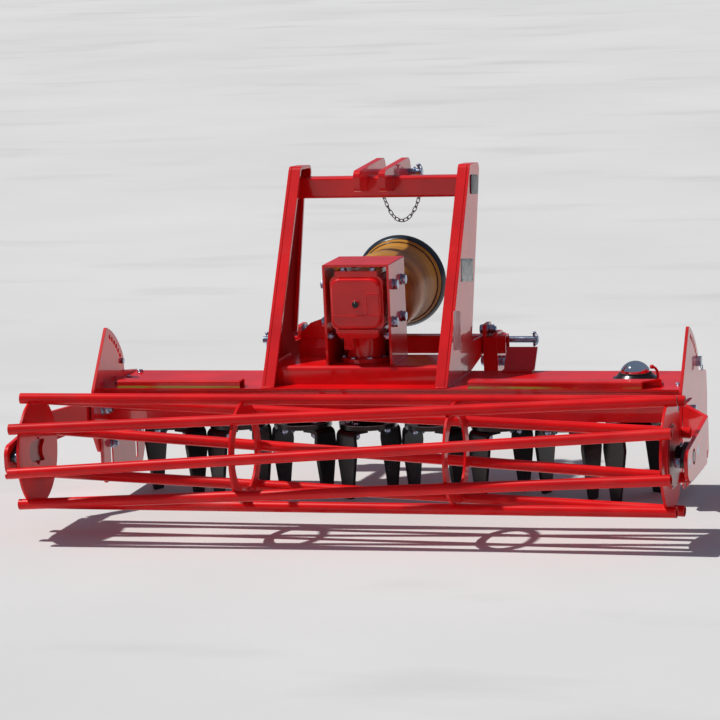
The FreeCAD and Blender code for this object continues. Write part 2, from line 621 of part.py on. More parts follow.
def along_shaft(radius, y0, y1):
    return rod(radius, (HEAD_X, y0, PTO_Z), (HEAD_X, y1, PTO_Z))


def make_gearbox():
    body_top, body_bottom = GEARBOX_Z + GEARBOX_HALF, GEARBOX_Z - GEARBOX_HALF
    housing = plate_xz(rounded_square(GEARBOX_HALF, GEARBOX_CORNER, GEARBOX_Z),
                       GEARBOX_REAR, GEARBOX_FRONT)
    pad_half, pad_height = GEARBOX_PAD
    pad = box(HEAD_X - pad_half, HEAD_X + pad_half, GEARBOX_REAR, GEARBOX_FRONT,
              GEARBOX_Z, body_top + pad_height)
    sump_half, sump_height = GEARBOX_SUMP
    sump_bottom = body_bottom - sump_height
    sump = plate_xz([(HEAD_X - sump_half, sump_bottom, 18), (HEAD_X + sump_half, sump_bottom, 18),
                     (HEAD_X + sump_half, GEARBOX_Z), (HEAD_X - sump_half, GEARBOX_Z)],
                    GEARBOX_REAR, GEARBOX_FRONT)
    cover_bottom = GEARBOX_Z - GEARBOX_COVER_HALF
    lip = box(HEAD_X - sump_half, HEAD_X + sump_half, GEARBOX_REAR - GEARBOX_COVER_DEPTH / 2,
              GEARBOX_REAR, sump_bottom + 18, cover_bottom - 4)
    lug = box(LUG_X[0], LUG_X[1], GEARBOX_REAR, GEARBOX_REAR + 12,
              sump_bottom - LUG_HEIGHT, sump_bottom + 2)
    collar_end = GEARBOX_FRONT + SNOUT_COLLAR_LENGTH
    snout_end = GEARBOX_FRONT + SNOUT_LENGTH
    snout = Part.makeCone(SNOUT_COLLAR_RADIUS - SNOUT_STEP, SNOUT_RADIUS, snout_end - collar_end,
                          Vector(HEAD_X, collar_end, PTO_Z), Vector(0, 1, 0))
    flange_out, flange_height = GEARBOX_FOOT

    def column(radius, z0, z1):
        return rod(radius, (HEAD_X, GEARBOX_NECK_Y, z0), (HEAD_X, GEARBOX_NECK_Y, z1))

    neck = column(GEARBOX_NECK_RADIUS, DECK_TOP, sump_bottom + 2)
    foot = column(GEARBOX_NECK_RADIUS + flange_out, DECK_TOP, DECK_TOP + flange_height)
    collar = along_shaft(SNOUT_COLLAR_RADIUS, GEARBOX_FRONT, collar_end)
    for piece in (pad, sump, lip, lug, collar, snout, neck, foot):
        housing = housing.fuse(piece)
    housing = housing.cut(along_shaft(PTO_RADIUS + RUNNING, GEARBOX_FRONT, snout_end))
    cover = plate_xz(rounded_square(GEARBOX_COVER_HALF, 30, GEARBOX_Z),
                     GEARBOX_REAR - GEARBOX_COVER_DEPTH, GEARBOX_REAR)
    rear_face = GEARBOX_REAR - GEARBOX_COVER_DEPTH
    rear_edges = [e for e in cover.Edges if e.BoundBox.YMax < rear_face + SEAT]
    cover = cover.makeFillet(GEARBOX_COVER_ROUND, rear_edges)
    parts["gearbox_rear_cover"] = cover
    parts["gearbox_housing"] = housing.removeSplitter()
    wall = BRACKET_WIDTH / 2
    within = wall - BRACKET_THICKNESS
    outer = [(HEAD_X - wall, DECK_TOP), (HEAD_X - wall, BRACKET_TOP, BRACKET_BEND),
             (HEAD_X + wall, BRACKET_TOP, BRACKET_BEND), (HEAD_X + wall, DECK_TOP)]
    bracket = plate_xz(outer, BRACKET_REAR, BRACKET_FRONT)
    bracket = bracket.cut(box(HEAD_X - within, HEAD_X + within, BRACKET_REAR, BRACKET_FRONT,
                              DECK_TOP, BRACKET_TOP - BRACKET_THICKNESS))
    tie = box(HEAD_X - within, HEAD_X + within, BRACKET_FRONT - BRACKET_THICKNESS,
              BRACKET_FRONT, DECK_TOP, sump_bottom - BRACKET_TIE_GAP)
    parts["gearbox_bracket"] = bracket.fuse(tie).removeSplitter()
    parts["pto_shaft"] = along_shaft(PTO_RADIUS, GEARBOX_FRONT + PTO_BURIED,
                                     snout_end + PTO_STUB)


def make_pto_guard():
    """Bell round the drive shaft: it flares quickly, then runs nearly straight to its rim."""
    rim = GUARD_RIM_Y - GUARD_BAND

    def profile(gap):
        points = [Vector(radius - gap, GUARD_REAR + (rim - GUARD_REAR) * share, 0)
                  for share, radius in GUARD_PROFILE]
        points[0] += Vector(0, gap, 0)
        curve = Part.BSplineCurve()
        curve.interpolate(points)
        return curve.toShape(), points[0], points[-1]

    outer, outer_start, outer_end = profile(0)
    inner, inner_start, inner_end = profile(GUARD_WALL)
    seat = SNOUT_COLLAR_RADIUS + GUARD_PLAY
    lip = [inner_start, Vector(seat, GUARD_REAR + GUARD_WALL, 0), Vector(seat, GUARD_REAR, 0),
           outer_start]
    edges = [outer, Part.LineSegment(outer_end, inner_end).toShape(), inner]
    edges += [Part.LineSegment(a, b).toShape() for a, b in zip(lip, lip[1:])]
    bell = Part.Face(Part.Wire(Part.__sortEdges__(edges)))
    bell = bell.revolve(Vector(0, 0, 0), Vector(0, 1, 0), 360)
    parts["pto_guard"] = bell.translated(Vector(HEAD_X, 0, PTO_Z))
    rear, mouth = GUARD_RIM_RADII
    place, ahead = Vector(HEAD_X, rim, PTO_Z), Vector(0, 1, 0)
    band = Part.makeCone(rear, mouth, GUARD_BAND, place, ahead)
    parts["pto_guard_rim"] = band.cut(Part.makeCone(rear - GUARD_BAND_WALL, mouth - GUARD_BAND_WALL,
                                                    GUARD_BAND, place, ahead))


def make_bearing_cap():
    """Filler cap: a flange on the cover, a taper and a flattened dome."""
    flange = Part.makeCylinder(CAP_BASE_RADIUS, CAP_BASE_HEIGHT, Vector(CAP_X, CAP_Y, COVER_TOP))
    low, high = CAP_TAPER_RADII
    taper = Part.makeCone(low, high, CAP_TAPER_HEIGHT,
                          Vector(CAP_X, CAP_Y, COVER_TOP + CAP_BASE_HEIGHT))
    parts["bearing_cap_base"] = flange.fuse(taper).removeSplitter()
    foot = COVER_TOP + CAP_BASE_HEIGHT + CAP_TAPER_HEIGHT
    wall = Part.makeCylinder(CAP_DOME_RADIUS, CAP_DOME_WALL, Vector(CAP_X, CAP_Y, foot))
    sphere = (CAP_DOME_RADIUS ** 2 + CAP_DOME_HEIGHT ** 2) / (2 * CAP_DOME_HEIGHT)
    top = foot + CAP_DOME_WALL
    ball = Part.makeSphere(sphere, Vector(CAP_X, CAP_Y, top + CAP_DOME_HEIGHT - sphere))
    above = Part.makeCylinder(CAP_BASE_RADIUS, CAP_DOME_HEIGHT, Vector(CAP_X, CAP_Y, top))
    parts["bearing_cap_dome"] = wall.fuse(ball.common(above)).removeSplitter()


# ---- rotors -------------------------------------------------------------------------
def rotor_hub():
    hub = Part.makeCylinder(HUB_RADIUS, HUB_THICKNESS, Vector(0, 0, TINE_LENGTH))
    neck = Part.makeCylinder(ROTOR_NECK_RADIUS, TROUGH_FLOOR - SEAT - TINE_LENGTH - HUB_THICKNESS,
                             Vector(0, 0, TINE_LENGTH + HUB_THICKNESS))
    return hub.fuse(neck).removeSplitter()


def tine():
    """Knife tine: a foot under the hub disc, a bend, and a blade that narrows to its tip."""
    outer = TINE_CIRCLE + TINE_THICKNESS / 2
    inner = TINE_CIRCLE - TINE_THICKNESS / 2
    top = TINE_LENGTH
    profile = [(TINE_FOOT_INNER, top), (TINE_FOOT_INNER, top - TINE_THICKNESS),
               (inner, top - TINE_THICKNESS, TINE_BEND_RADIUS - TINE_THICKNESS), (inner, 0),
               (outer, 0), (outer, top, TINE_BEND_RADIUS)]
    half, tip = TINE_SHOULDER_WIDTH / 2, TINE_TIP_WIDTH / 2
    shoulder = top - TINE_SHOULDER_DROP
    foot_half = half * 0.86
    side = plate_xz(profile, -half, half)
    front = plate_yz([(-foot_half, top), (-half, shoulder, 44), (-tip, 0, 4), (tip, 0, 4),
                      (half, shoulder, 44), (foot_half, top)], 0, outer)
    return side.common(front)


def make_rotors():
    hub, blade = rotor_hub(), tine()
    for i in range(ROTOR_COUNT):
        place = Vector(rotor_x(i), 0, 0)
        parts["rotor_hub_%d" % (i + 1)] = hub.translated(place)
        pair = []
        for half_turn in (0, 180):
            turned = blade.rotated(Vector(0, 0, 0), Vector(0, 0, 1),
                                   ROTOR_PHASE[i % 2] + half_turn)
            pair.append(turned.translated(place))
        parts["rotor_tines_%d" % (i + 1)] = Part.makeCompound(pair)


# ---- roller -------------------------------------------------------------------------
def tube_end(index, sign):
    """Centre of a roller tube's end; every tube is straight but skewed round the axis."""
    angle = math.radians(TUBE_FIRST_ANGLE - index * 360 / TUBE_COUNT
                         + (TUBE_TWIST if sign > 0 else 0))
    return (sign * TUBE_HALF_LENGTH, ROLLER_Y - ROLLER_RADIUS * math.cos(angle),
            ROLLER_Z + ROLLER_RADIUS * math.sin(angle))


def tube_distance(x):
    """How far the tubes' middles lie from the axis at a place along the roller."""
    half = math.radians(TUBE_TWIST / 2)
    return math.hypot(ROLLER_RADIUS * math.cos(half),
                      ROLLER_RADIUS * math.sin(half) * x / TUBE_HALF_LENGTH)


def along_roller(radius, x0, x1):
    return rod(radius, (x0, ROLLER_Y, ROLLER_Z), (x1, ROLLER_Y, ROLLER_Z))


def cross_plate(x0, x1, seats):
    """A disc across the roller, with a seat for every tube."""
    radius = tube_distance((x0 + x1) / 2) - TUBE_RADIUS * SEAT_DEPTH
    return along_roller(radius, x0, x1).cut(seats)


def disc_opening(x0, x1):
    """The lobed opening in an end disc, where the bearing's bolts are reached."""
    outline = [(-78, 20, 14), (-58, 42, 10), (-16, 38, 4), (0, 50, 3), (18, 36, 4),
               (60, 30, 4), (36, 8, 14), (34, -14, 14), (54, -38, 4), (12, -32, 4),
               (-4, -44, 3), (-20, -32, 4), (-66, -20, 14)]
    return plate_yz([(ROLLER_Y + y, ROLLER_Z + z, r) for y, z, r in outline], x0, x1)


def stub_axle():
    flange_end = DISC_OUTER_FACE + STUB_FLANGE_THICKNESS
    flange = along_roller(STUB_FLANGE_RADIUS, DISC_OUTER_FACE, flange_end)
    return flange.fuse(along_roller(STUB_RADIUS, flange_end, ARM_OUTER_FACE)).removeSplitter()


def make_roller():
    tubes, seats = [], []
    for i in range(TUBE_COUNT):
        left, right = tube_end(i, -1), tube_end(i, 1)
        tubes.append(pipe(TUBE_RADIUS, TUBE_WALL, left, right))
        seats.append(rod(TUBE_RADIUS + SEAT, left, right))
    parts["roller_tubes"] = Part.makeCompound(tubes)
    seats = Part.makeCompound(seats)
    inner_face = DISC_OUTER_FACE - DISC_THICKNESS
    disc = cross_plate(inner_face, DISC_OUTER_FACE, seats)
    disc = disc.cut(disc_opening(inner_face, DISC_OUTER_FACE))
    other = cross_plate(-DISC_OUTER_FACE, -inner_face, seats)
    other = other.cut(disc_opening(-DISC_OUTER_FACE, -inner_face))
    parts["roller_end_discs"] = Part.makeCompound([other, disc])
    rings = []
    for x in RING_PLACES:
        x0, x1 = x - DISC_THICKNESS / 2, x + DISC_THICKNESS / 2
        opening = tube_distance(x) - TUBE_RADIUS * SEAT_DEPTH - RING_WIDTH
        rings.append(cross_plate(x0, x1, seats).cut(along_roller(opening, x0, x1)))
    parts["roller_rings"] = Part.makeCompound(rings)
    stub = stub_axle()
    parts["roller_stub_axles"] = Part.makeCompound([mirrored(stub), stub])


def roller_arm():
    """Bent flat arm: beside the side plate at its pivot, then out round the roller's end."""
    inner = TROUGH_HALF_LENGTH + SIDE_PLATE_THICKNESS + ARM_CLEARANCE
    outer = ARM_OUTER_FACE - ARM_THICKNESS
    near, far = ARM_FOLDS
    plan = strip([(inner + ARM_THICKNESS, PIVOT_Y + 60), (inner + ARM_THICKNESS, near),
                  (ARM_OUTER_FACE, far), (ARM_OUTER_FACE, ROLLER_Y - ARM_REAR)],
                 -ARM_THICKNESS)
    height = ARM_HALF_HEIGHT
    rear = ROLLER_Y - ARM_REAR
    side = [(PIVOT_Y + height, PIVOT_Z - height, height - 1),
            (PIVOT_Y + height, PIVOT_Z + height, height - 1),
            (near, PIVOT_Z + height, 30), (far - 23, ROLLER_Z + 71, 12),
            (rear, ROLLER_Z + 32, 34), (rear, ROLLER_Z - 52, 34),
            (ROLLER_Y - 36, ROLLER_Z - 69, 30), (far - 46, ROLLER_Z - 66, 20),
            (far + 16, ROLLER_Z - 19, 20), (near, PIVOT_Z - height, 30)]
    arm = plate_xy(plan, 0, PIVOT_Z * 2).common(plate_yz(side, inner, ARM_OUTER_FACE))
    arm = arm.cut(rod(PIVOT_PIN_RADIUS + RUNNING, (inner, PIVOT_Y, PIVOT_Z),
                      (inner + ARM_THICKNESS, PIVOT_Y, PIVOT_Z)))
    y, low, high = ARM_SLOT
    slot = box(outer, ARM_OUTER_FACE, y - ARM_SLOT_HALF_WIDTH, y + ARM_SLOT_HALF_WIDTH,
               ROLLER_Z + low, ROLLER_Z + high)
    return arm.cut(slot).cut(along_roller(STUB_RADIUS + ARM_STUB_GAP, outer, ARM_OUTER_FACE))


def roller_bearing():
    """Two-bolt flanged bearing on the inside of an arm."""
    face = ARM_OUTER_FACE - ARM_THICKNESS
    plate_face = face - BEARING_PLATE
    plate = along_roller(BEARING_BOSS_RADIUS + 6, plate_face, face)
    for end in (BEARING_TILT, 180 + BEARING_TILT):
        y, z = on_circle(ROLLER_Y, ROLLER_Z, BEARING_BOLT_SPACING / 2, end)
        lobe = rod(BEARING_LOBE_RADIUS, (plate_face, y, z), (face, y, z))
        middle = [on_circle(ROLLER_Y, ROLLER_Z, BEARING_BOSS_RADIUS, end + turn)
                  for turn in (-90, 90)]
        tip = [on_circle(y, z, BEARING_LOBE_RADIUS * 0.96, end + turn) for turn in (80, -80)]
        plate = plate.fuse(lobe).fuse(plate_yz(middle + tip, plate_face, face))
    boss_end = DISC_OUTER_FACE + STUB_FLANGE_THICKNESS + BEARING_GAP
    boss = Part.makeCone(BEARING_BOSS_RADIUS - BEARING_BOSS_TAPER, BEARING_BOSS_RADIUS,
                         plate_face - boss_end, Vector(boss_end, ROLLER_Y, ROLLER_Z),
                         Vector(1, 0, 0))
    plate = plate.fuse(boss).cut(along_roller(STUB_RADIUS + AXLE_FIT, boss_end, face))
    return plate.removeSplitter()


def make_roller_frame():
    arm, bearing = roller_arm(), roller_bearing()
    for side, sign in SIDES.items():
        parts["roller_arm_" + side] = on_side(arm, sign)
        parts["roller_bearing_" + side] = on_side(bearing, sign)


make_trough()
make_stiffener()
make_ends()
make_headstock()
make_deck()
make_lower_hitch()
make_gearbox()
make_pto_guard()
make_bearing_cap()
make_rotors()
make_roller()
make_roller_frame()

# The origin goes to the bottom centre of the whole machine.
extent = Part.makeCompound(list(parts.values())).BoundBox
origin = Vector(extent.Center.x, extent.Center.y, extent.ZMin)
os.makedirs("parts", exist_ok=True)
for name, shape in parts.items():
    shape.translated(origin * -1).exportStep("parts/%s.step" % name)
print("nodes:", len(parts), "origin was at", tuple(round(v, 3) for v in origin))
print("size:", [round(v, 1) for v in (extent.XLength, extent.YLength, extent.ZLength)])
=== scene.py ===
import json
import math

import bpy
import numpy as np
from mathutils import Matrix, Vector


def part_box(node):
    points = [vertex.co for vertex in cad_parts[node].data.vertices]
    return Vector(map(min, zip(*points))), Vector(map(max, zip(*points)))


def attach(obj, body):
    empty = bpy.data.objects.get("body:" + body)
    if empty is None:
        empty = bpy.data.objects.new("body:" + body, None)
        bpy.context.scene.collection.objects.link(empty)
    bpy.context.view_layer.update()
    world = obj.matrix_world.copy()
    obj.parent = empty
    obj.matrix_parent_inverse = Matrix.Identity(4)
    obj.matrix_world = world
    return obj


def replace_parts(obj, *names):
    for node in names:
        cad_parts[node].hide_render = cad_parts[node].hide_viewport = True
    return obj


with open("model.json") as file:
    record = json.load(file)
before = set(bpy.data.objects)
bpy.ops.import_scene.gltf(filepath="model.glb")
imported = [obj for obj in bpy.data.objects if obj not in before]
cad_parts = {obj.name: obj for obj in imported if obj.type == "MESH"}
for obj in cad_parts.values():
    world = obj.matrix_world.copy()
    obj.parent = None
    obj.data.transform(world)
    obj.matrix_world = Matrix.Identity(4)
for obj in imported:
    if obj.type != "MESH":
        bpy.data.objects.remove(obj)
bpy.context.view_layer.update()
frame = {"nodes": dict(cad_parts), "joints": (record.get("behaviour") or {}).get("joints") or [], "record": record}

# ---- camera -------------------------------------------------------------------------
# A long lens on a 36 mm sensor, from behind, a little to the right and above the machine,
# rolled slightly, as held by hand.
scene = bpy.context.scene
scene.view_settings.view_transform = "Standard"

CAMERA_TARGET = Vector((-0.1281, 0.1578, 0.4420))
CAMERA_DISTANCE = 11.204
CAMERA_AZIMUTH = 0.2726
CAMERA_ELEVATION = 0.1628
CAMERA_ROLL = -0.0448
FOCAL_LENGTH = 173.0          # millimetres


def place_camera():
    """A camera turned about the target by azimuth and elevation, then rolled about its axis."""
    back = Vector((math.sin(CAMERA_AZIMUTH) * math.cos(CAMERA_ELEVATION),
                   -math.cos(CAMERA_AZIMUTH) * math.cos(CAMERA_ELEVATION),
                   math.sin(CAMERA_ELEVATION)))
    level = Vector((0, 0, 1)).cross(back).normalized()
    upright = back.cross(level)
    right = level * math.cos(CAMERA_ROLL) + upright * math.sin(CAMERA_ROLL)
    up = upright * math.cos(CAMERA_ROLL) - level * math.sin(CAMERA_ROLL)
    data = bpy.data.cameras.new("camera")
    data.lens = FOCAL_LENGTH
    data.sensor_width = 36.0
    data.clip_end = 200.0
    camera = bpy.data.objects.new("camera", data)
    scene.collection.objects.link(camera)
    place = Matrix((right, up, back)).transposed().to_4x4()
    place.translation = CAMERA_TARGET + back * CAMERA_DISTANCE
    camera.matrix_world = place
    scene.camera = camera


place_camera()


# ---- floor --------------------------------------------------------------------------
# Pale trowelled concrete, cast in place and weathered: faint clouds a few metres wide,
# duller smears along the trowel's way and a fine grain.
def linear(hex_colour):
    """An sRGB hex colour as linear RGBA."""
    values = [int(hex_colour[i:i + 2], 16) / 255 for i in (1, 3, 5)]
    return [v / 12.92 if v <= 0.04045 else ((v + 0.055) / 1.055) ** 2.4 for v in values] + [1.0]


def add_node(tree, kind, links=(), values=(), **settings):
    """Adds a node; links are (output, input name) pairs and values (input name, value) pairs."""
    node = tree.nodes.new(kind)
    for name, value in settings.items():
        setattr(node, name, value)
    for name, value in values:
        node.inputs[name].default_value = value
    for source, target in links:
        tree.links.new(source, node.inputs[target])
    return node


def new_material(name):
    """An empty node material; returns it with its tree, its shader and its object coordinates."""
    material = bpy.data.materials.new(name)
    material.use_nodes = True
    tree = material.node_tree
    shader = tree.nodes["Principled BSDF"]
    place = add_node(tree, "ShaderNodeTexCoord").outputs["Object"]
    return material, tree, shader, place


def noise(tree, place, scale, detail=3.0, stretch=None):
    """Noise from 0 to 1; scale is in cycles per metre, stretch multiplies it along X, Y, Z."""
    if stretch:
        place = add_node(tree, "ShaderNodeMapping", [(place, "Vector")],
                         [("Scale", stretch)]).outputs["Vector"]
    return add_node(tree, "ShaderNodeTexNoise", [(place, "Vector")],
                    [("Scale", scale), ("Detail", detail)]).outputs["Fac"]


def ramp(tree, source, low, high, first=(0, 0, 0, 1), last=(1, 1, 1, 1)):
    """A value from low to high as a blend from the first colour to the last."""
    node = add_node(tree, "ShaderNodeValToRGB", [(source, "Fac")])
    for element, position, colour in zip(node.color_ramp.elements, (low, high), (first, last)):
        element.position = position
        element.color = colour
    return node.outputs["Color"]


def feed(tree, socket, value):
    """Links an output to an input, or sets the input to a value."""
    if isinstance(value, bpy.types.NodeSocket):
        tree.links.new(value, socket)
    else:
        socket.default_value = value


def mixed(tree, share, first, last, blend="MIX"):
    """Two colours (values or outputs) mixed by a share (value or output)."""
    node = add_node(tree, "ShaderNodeMix", data_type="RGBA", blend_type=blend)
    for socket, value in ((0, share), (6, first), (7, last)):
        feed(tree, node.inputs[socket], value)
    return node.outputs[2]


def lay_floor():
    """A square of concrete: clouds, then smears over them, and the grain multiplies both."""
    half, centre_y = 60.0, 20.0
    mesh = bpy.data.meshes.new("floor")
    mesh.from_pydata([(-half, centre_y - half, 0), (half, centre_y - half, 0),
                      (half, centre_y + half, 0), (-half, centre_y + half, 0)], [], [(0, 1, 2, 3)])
    floor = bpy.data.objects.new("floor", mesh)
    scene.collection.objects.link(floor)
    material, tree, shader, place = new_material("trowelled concrete")
    clouds = ramp(tree, noise(tree, place, 0.5, 5.0), 0.3, 0.75,
                  linear("#D3D2D0"), linear("#DDDCDA"))
    smears = ramp(tree, noise(tree, place, 1.1, 6.0, (0.6, 1.6, 1.0)), 0.56, 0.85)
    colour = mixed(tree, smears, clouds, linear("#C6C4C1"))
    grain = ramp(tree, noise(tree, place, 260.0, 2.0), 0.3, 0.7,
                 (0.93, 0.93, 0.93, 1), (1, 1, 1, 1))
    colour = mixed(tree, 1.0, colour, grain, "MULTIPLY")
    tree.links.new(colour, shader.inputs["Base Color"])
    shader.inputs["Roughness"].default_value = 0.85
    mesh.materials.append(material)


lay_floor()


# ---- light --------------------------------------------------------------------------
# A clear sky, and a high key lamp on the left for the sun, a little wider than the sun, so
# that the shadows have a slightly soft edge.
def light_scene():
    """The sky is one even colour; the lamp shines down its own Z axis."""
    world = bpy.data.worlds.new("sky")
    scene.world = world
    world.use_nodes = True
    background = world.node_tree.nodes["Background"]
    background.inputs["Color"].default_value = linear("#BFD0EC")
    background.inputs["Strength"].default_value = 0.29
    lamp = bpy.data.lights.new("key", "SUN")
    lamp.energy = 3.44
    lamp.angle = 0.03
    lamp.color = (1.0, 0.975, 0.94)
    key = bpy.data.objects.new("key", lamp)
    scene.collection.objects.link(key)
    towards = Vector((-0.56, -0.06, 1.0))
    key.rotation_euler = towards.to_track_quat("Z", "Y").to_euler()


light_scene()


# ---- enamel, plating and plastic of the CAD nodes -----------------------------------
# Sheet steel and castings are sprayed in thick gloss enamel over primer; pins and bolts
# are zinc plated; the guard is a moulded plastic bell. Every finish is procedural.
# The third red is painted shade, for the inner faces of the masts' webs.
RED, DEEP_RED, PAINTED_SHADE_RED, DUST = "#E80F12", "#CC0A10", "#9A070C", "#B9A9A2"


def grey(value):
    """A value as a grey, for a ramp that feeds a number."""
    return (value, value, value, 1.0)


def calculated(tree, operation, *operands):
    """The result of a math node on values or outputs."""
    node = add_node(tree, "ShaderNodeMath", operation=operation)
    for socket, operand in zip(node.inputs, operands):
        feed(tree, socket, operand)
    return node.outputs["Value"]


def rounded_normal(tree, radius):
    """A normal that turns over sharp edges as a rounded or painted edge does."""
    return add_node(tree, "ShaderNodeBevel", [], [("Radius", radius)], samples=4).outputs["Normal"]


def bumped(tree, height, distance, normal):
    """A normal tipped by a height from 0 to 1 that stands for a distance in metres."""
    return add_node(tree, "ShaderNodeBump", [(height, "Height"), (normal, "Normal")],
                    [("Distance", distance), ("Strength", 1.0)]).outputs["Normal"]


def enamel(name, colour, deep, coat_roughness=0.05, stripe=None, coat=1.0, dull_with_painted_shade=None):
    """Sprayed enamel: a little uneven in colour, dusty in places, with a clear gloss on top.

    The clouds keep large plates from looking flat, the fine bump is the orange peel that
    breaks up reflections, and the dust greys the gloss where it gathers. Faces that look
    up have lost part of their gloss. stripe(tree, place, tone) paints over the tone. The
    last argument, called with (tree, place), is the share of a face that has no gloss
    and whose colour is a deeper red as painted shade.
    """
    orange_peel, edge, dusty, dust_roughness, upward_gloss = 0.00006, 0.0022, 0.10, 0.16, 0.4
    material, tree, shader, place = new_material(name)
    tone = mixed(tree, ramp(tree, noise(tree, place, 7.0, 5.0), 0.35, 0.7),
                 linear(colour), linear(deep))
    dust = ramp(tree, noise(tree, place, 3.3, 6.0, (1.0, 1.0, 2.2)), 0.56, 0.82)
    tone = mixed(tree, calculated(tree, "MULTIPLY", dust, dusty), tone, linear(DUST))
    if stripe:
        tone = stripe(tree, place, tone)
    facing = add_node(tree, "ShaderNodeNewGeometry").outputs["Normal"]
    upward = add_node(tree, "ShaderNodeSeparateXYZ", [(facing, "Vector")]).outputs["Z"]
    clear = ramp(tree, upward, 0.6, 0.98, grey(coat), grey(coat * upward_gloss))
    shader.inputs["Roughness"].default_value = 0.34
    shader.inputs["Specular IOR Level"].default_value = 0.15
    shader.inputs["Coat IOR"].default_value = 1.42
    # Painted shade: where the share is 1, the tone turns to the deeper red and the gloss is taken off.
    if dull_with_painted_shade:
        share = dull_with_painted_shade(tree, place)
        tone = mixed(tree, share, tone, linear(PAINTED_SHADE_RED))
        clear = mixed(tree, share, clear, grey(0.0))
        for socket, dry in (("Roughness", 0.8), ("Specular IOR Level", 0.05)):
            wet = shader.inputs[socket].default_value
            tree.links.new(ramp(tree, share, 0.0, 1.0, grey(wet), grey(dry)),
                           shader.inputs[socket])
    tree.links.new(clear, shader.inputs["Coat Weight"])
    tree.links.new(tone, shader.inputs["Base Color"])
    normal = rounded_normal(tree, edge)
    peel = bumped(tree, noise(tree, place, 420.0, 2.0), orange_peel, normal)
    tree.links.new(peel, shader.inputs["Normal"])
    tree.links.new(normal, shader.inputs["Coat Normal"])
    gloss = ramp(tree, dust, 0.0, 1.0, grey(coat_roughness), grey(coat_roughness + dust_roughness))
    tree.links.new(gloss, shader.inputs["Coat Roughness"])
    return material


def plated(name, colour, dull, roughness, scale=38.0):
    """Plated or machined steel: patches of duller plate and fine drawn scratches."""
    material, tree, shader, place = new_material(name)
    patches = ramp(tree, noise(tree, place, scale, 4.0), 0.35, 0.7)
    tree.links.new(mixed(tree, patches, linear(colour), linear(dull)),
                   shader.inputs["Base Color"])
    rough = ramp(tree, noise(tree, place, scale * 3, 3.0), 0.3, 0.75,
                 grey(roughness * 0.75), grey(roughness * 1.4))
    tree.links.new(rough, shader.inputs["Roughness"])
    scratches = noise(tree, place, 900.0, 1.0, (0.15, 1.0, 1.0))
    tree.links.new(bumped(tree, scratches, 0.00003, rounded_normal(tree, 0.0008)),
                   shader.inputs["Normal"])
    shader.inputs["Metallic"].default_value = 1.0
    return material


def moulded(name, colour, deep, roughness, gloss=0.5):
    """Moulded plastic: flow marks round the shaft's axis and a faint leathery skin."""
    material, tree, shader, place = new_material(name)
    flow = ramp(tree, noise(tree, place, 5.0, 4.0, (1.0, 2.6, 1.0)), 0.35, 0.72)
    tree.links.new(mixed(tree, flow, linear(colour), linear(deep)), shader.inputs["Base Color"])
    skin = noise(tree, place, 700.0, 2.0)
    tree.links.new(bumped(tree, skin, 0.00004, rounded_normal(tree, 0.0015)),
                   shader.inputs["Normal"])
    shader.inputs["Roughness"].default_value = roughness
    shader.inputs["Specular IOR Level"].default_value = gloss
    return material


def stiffener_stripe(tree, place, tone):
    """A thin line of yellow-green paint along the foot of the rear face, worn through in places."""
    low, line_height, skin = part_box("stiffener_beam")[0], 0.008, 0.002
    axes = add_node(tree, "ShaderNodeSeparateXYZ", [(place, "Vector")]).outputs
    below = calculated(tree, "LESS_THAN", axes["Z"], low.z + line_height)
    behind = calculated(tree, "LESS_THAN", axes["Y"], low.y + skin)
    whole = ramp(tree, noise(tree, place, 12.0, 4.0, (0.4, 1.0, 1.0)), 0.36, 0.5)
    share = calculated(tree, "MULTIPLY", calculated(tree, "MULTIPLY", below, behind), whole)
    return mixed(tree, share, tone, linear("#B4A93C"))


def inside_channel(side):
    """A share that is 1 on the inner face of a mast's web, which gets no gloss and painted shade."""
    low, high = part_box("headstock_mast_" + side)
    web, tolerance = 0.010, 0.0012
    inner = low.x + web if side == "left" else high.x - web

    def share(tree, place):
        across = add_node(tree, "ShaderNodeSeparateXYZ", [(place, "Vector")]).outputs["X"]
        return calculated(tree, "COMPARE", across, inner, tolerance)
    return share


finishes = {
    "red_enamel": enamel("gloss red enamel", RED, DEEP_RED),
    "black_enamel": enamel("satin black enamel", "#121215", "#0A0A0C", coat_roughness=0.22),
    "zinc_plate": plated("bright zinc plate", "#B4C2D6", "#8393AB", 0.24),
    "bare_steel": plated("machined steel", "#96979B", "#6F7076", 0.33),
    "chrome_plate": plated("chrome plate", "#E2E8EE", "#D2D9E2", 0.05, scale=6.0),
    "amber_plastic": moulded("amber moulded plastic", "#C48C3A", "#84521C", 0.26, gloss=0.08),
    "black_plastic": moulded("blue-black moulded plastic", "#16222F", "#0D141E", 0.28),
}
special = {
    "stiffener_beam": enamel("gloss red enamel with a painted line", RED, DEEP_RED,
                             stripe=stiffener_stripe),
    # Painted shade: the stub axles are a darker red than the rest of the roller, and less glossy.
    "roller_stub_axles": enamel("dull red enamel with painted shade", "#A50D12", "#7E0A0E", coat_roughness=0.3),
}
# Painted shade: the inner face of each mast's web is a deeper red, with no gloss.
for side in ("left", "right"):
    special["headstock_mast_" + side] = enamel("gloss red enamel, dull with painted shade inside a mast", RED,
                                               DEEP_RED, dull_with_painted_shade=inside_channel(side))
for name in ("roller_tubes", "roller_end_discs", "roller_rings"):
    special[name] = enamel("worn red enamel of the roller", RED, DEEP_RED, coat=0.45)
slot_of = {row["node"]: row["material_slot"] for row in frame["record"]["subparts"]}
for name, node in frame["nodes"].items():
    node.data.materials.clear()
    node.data.materials.append(special.get(name, finishes[slot_of[name]]))


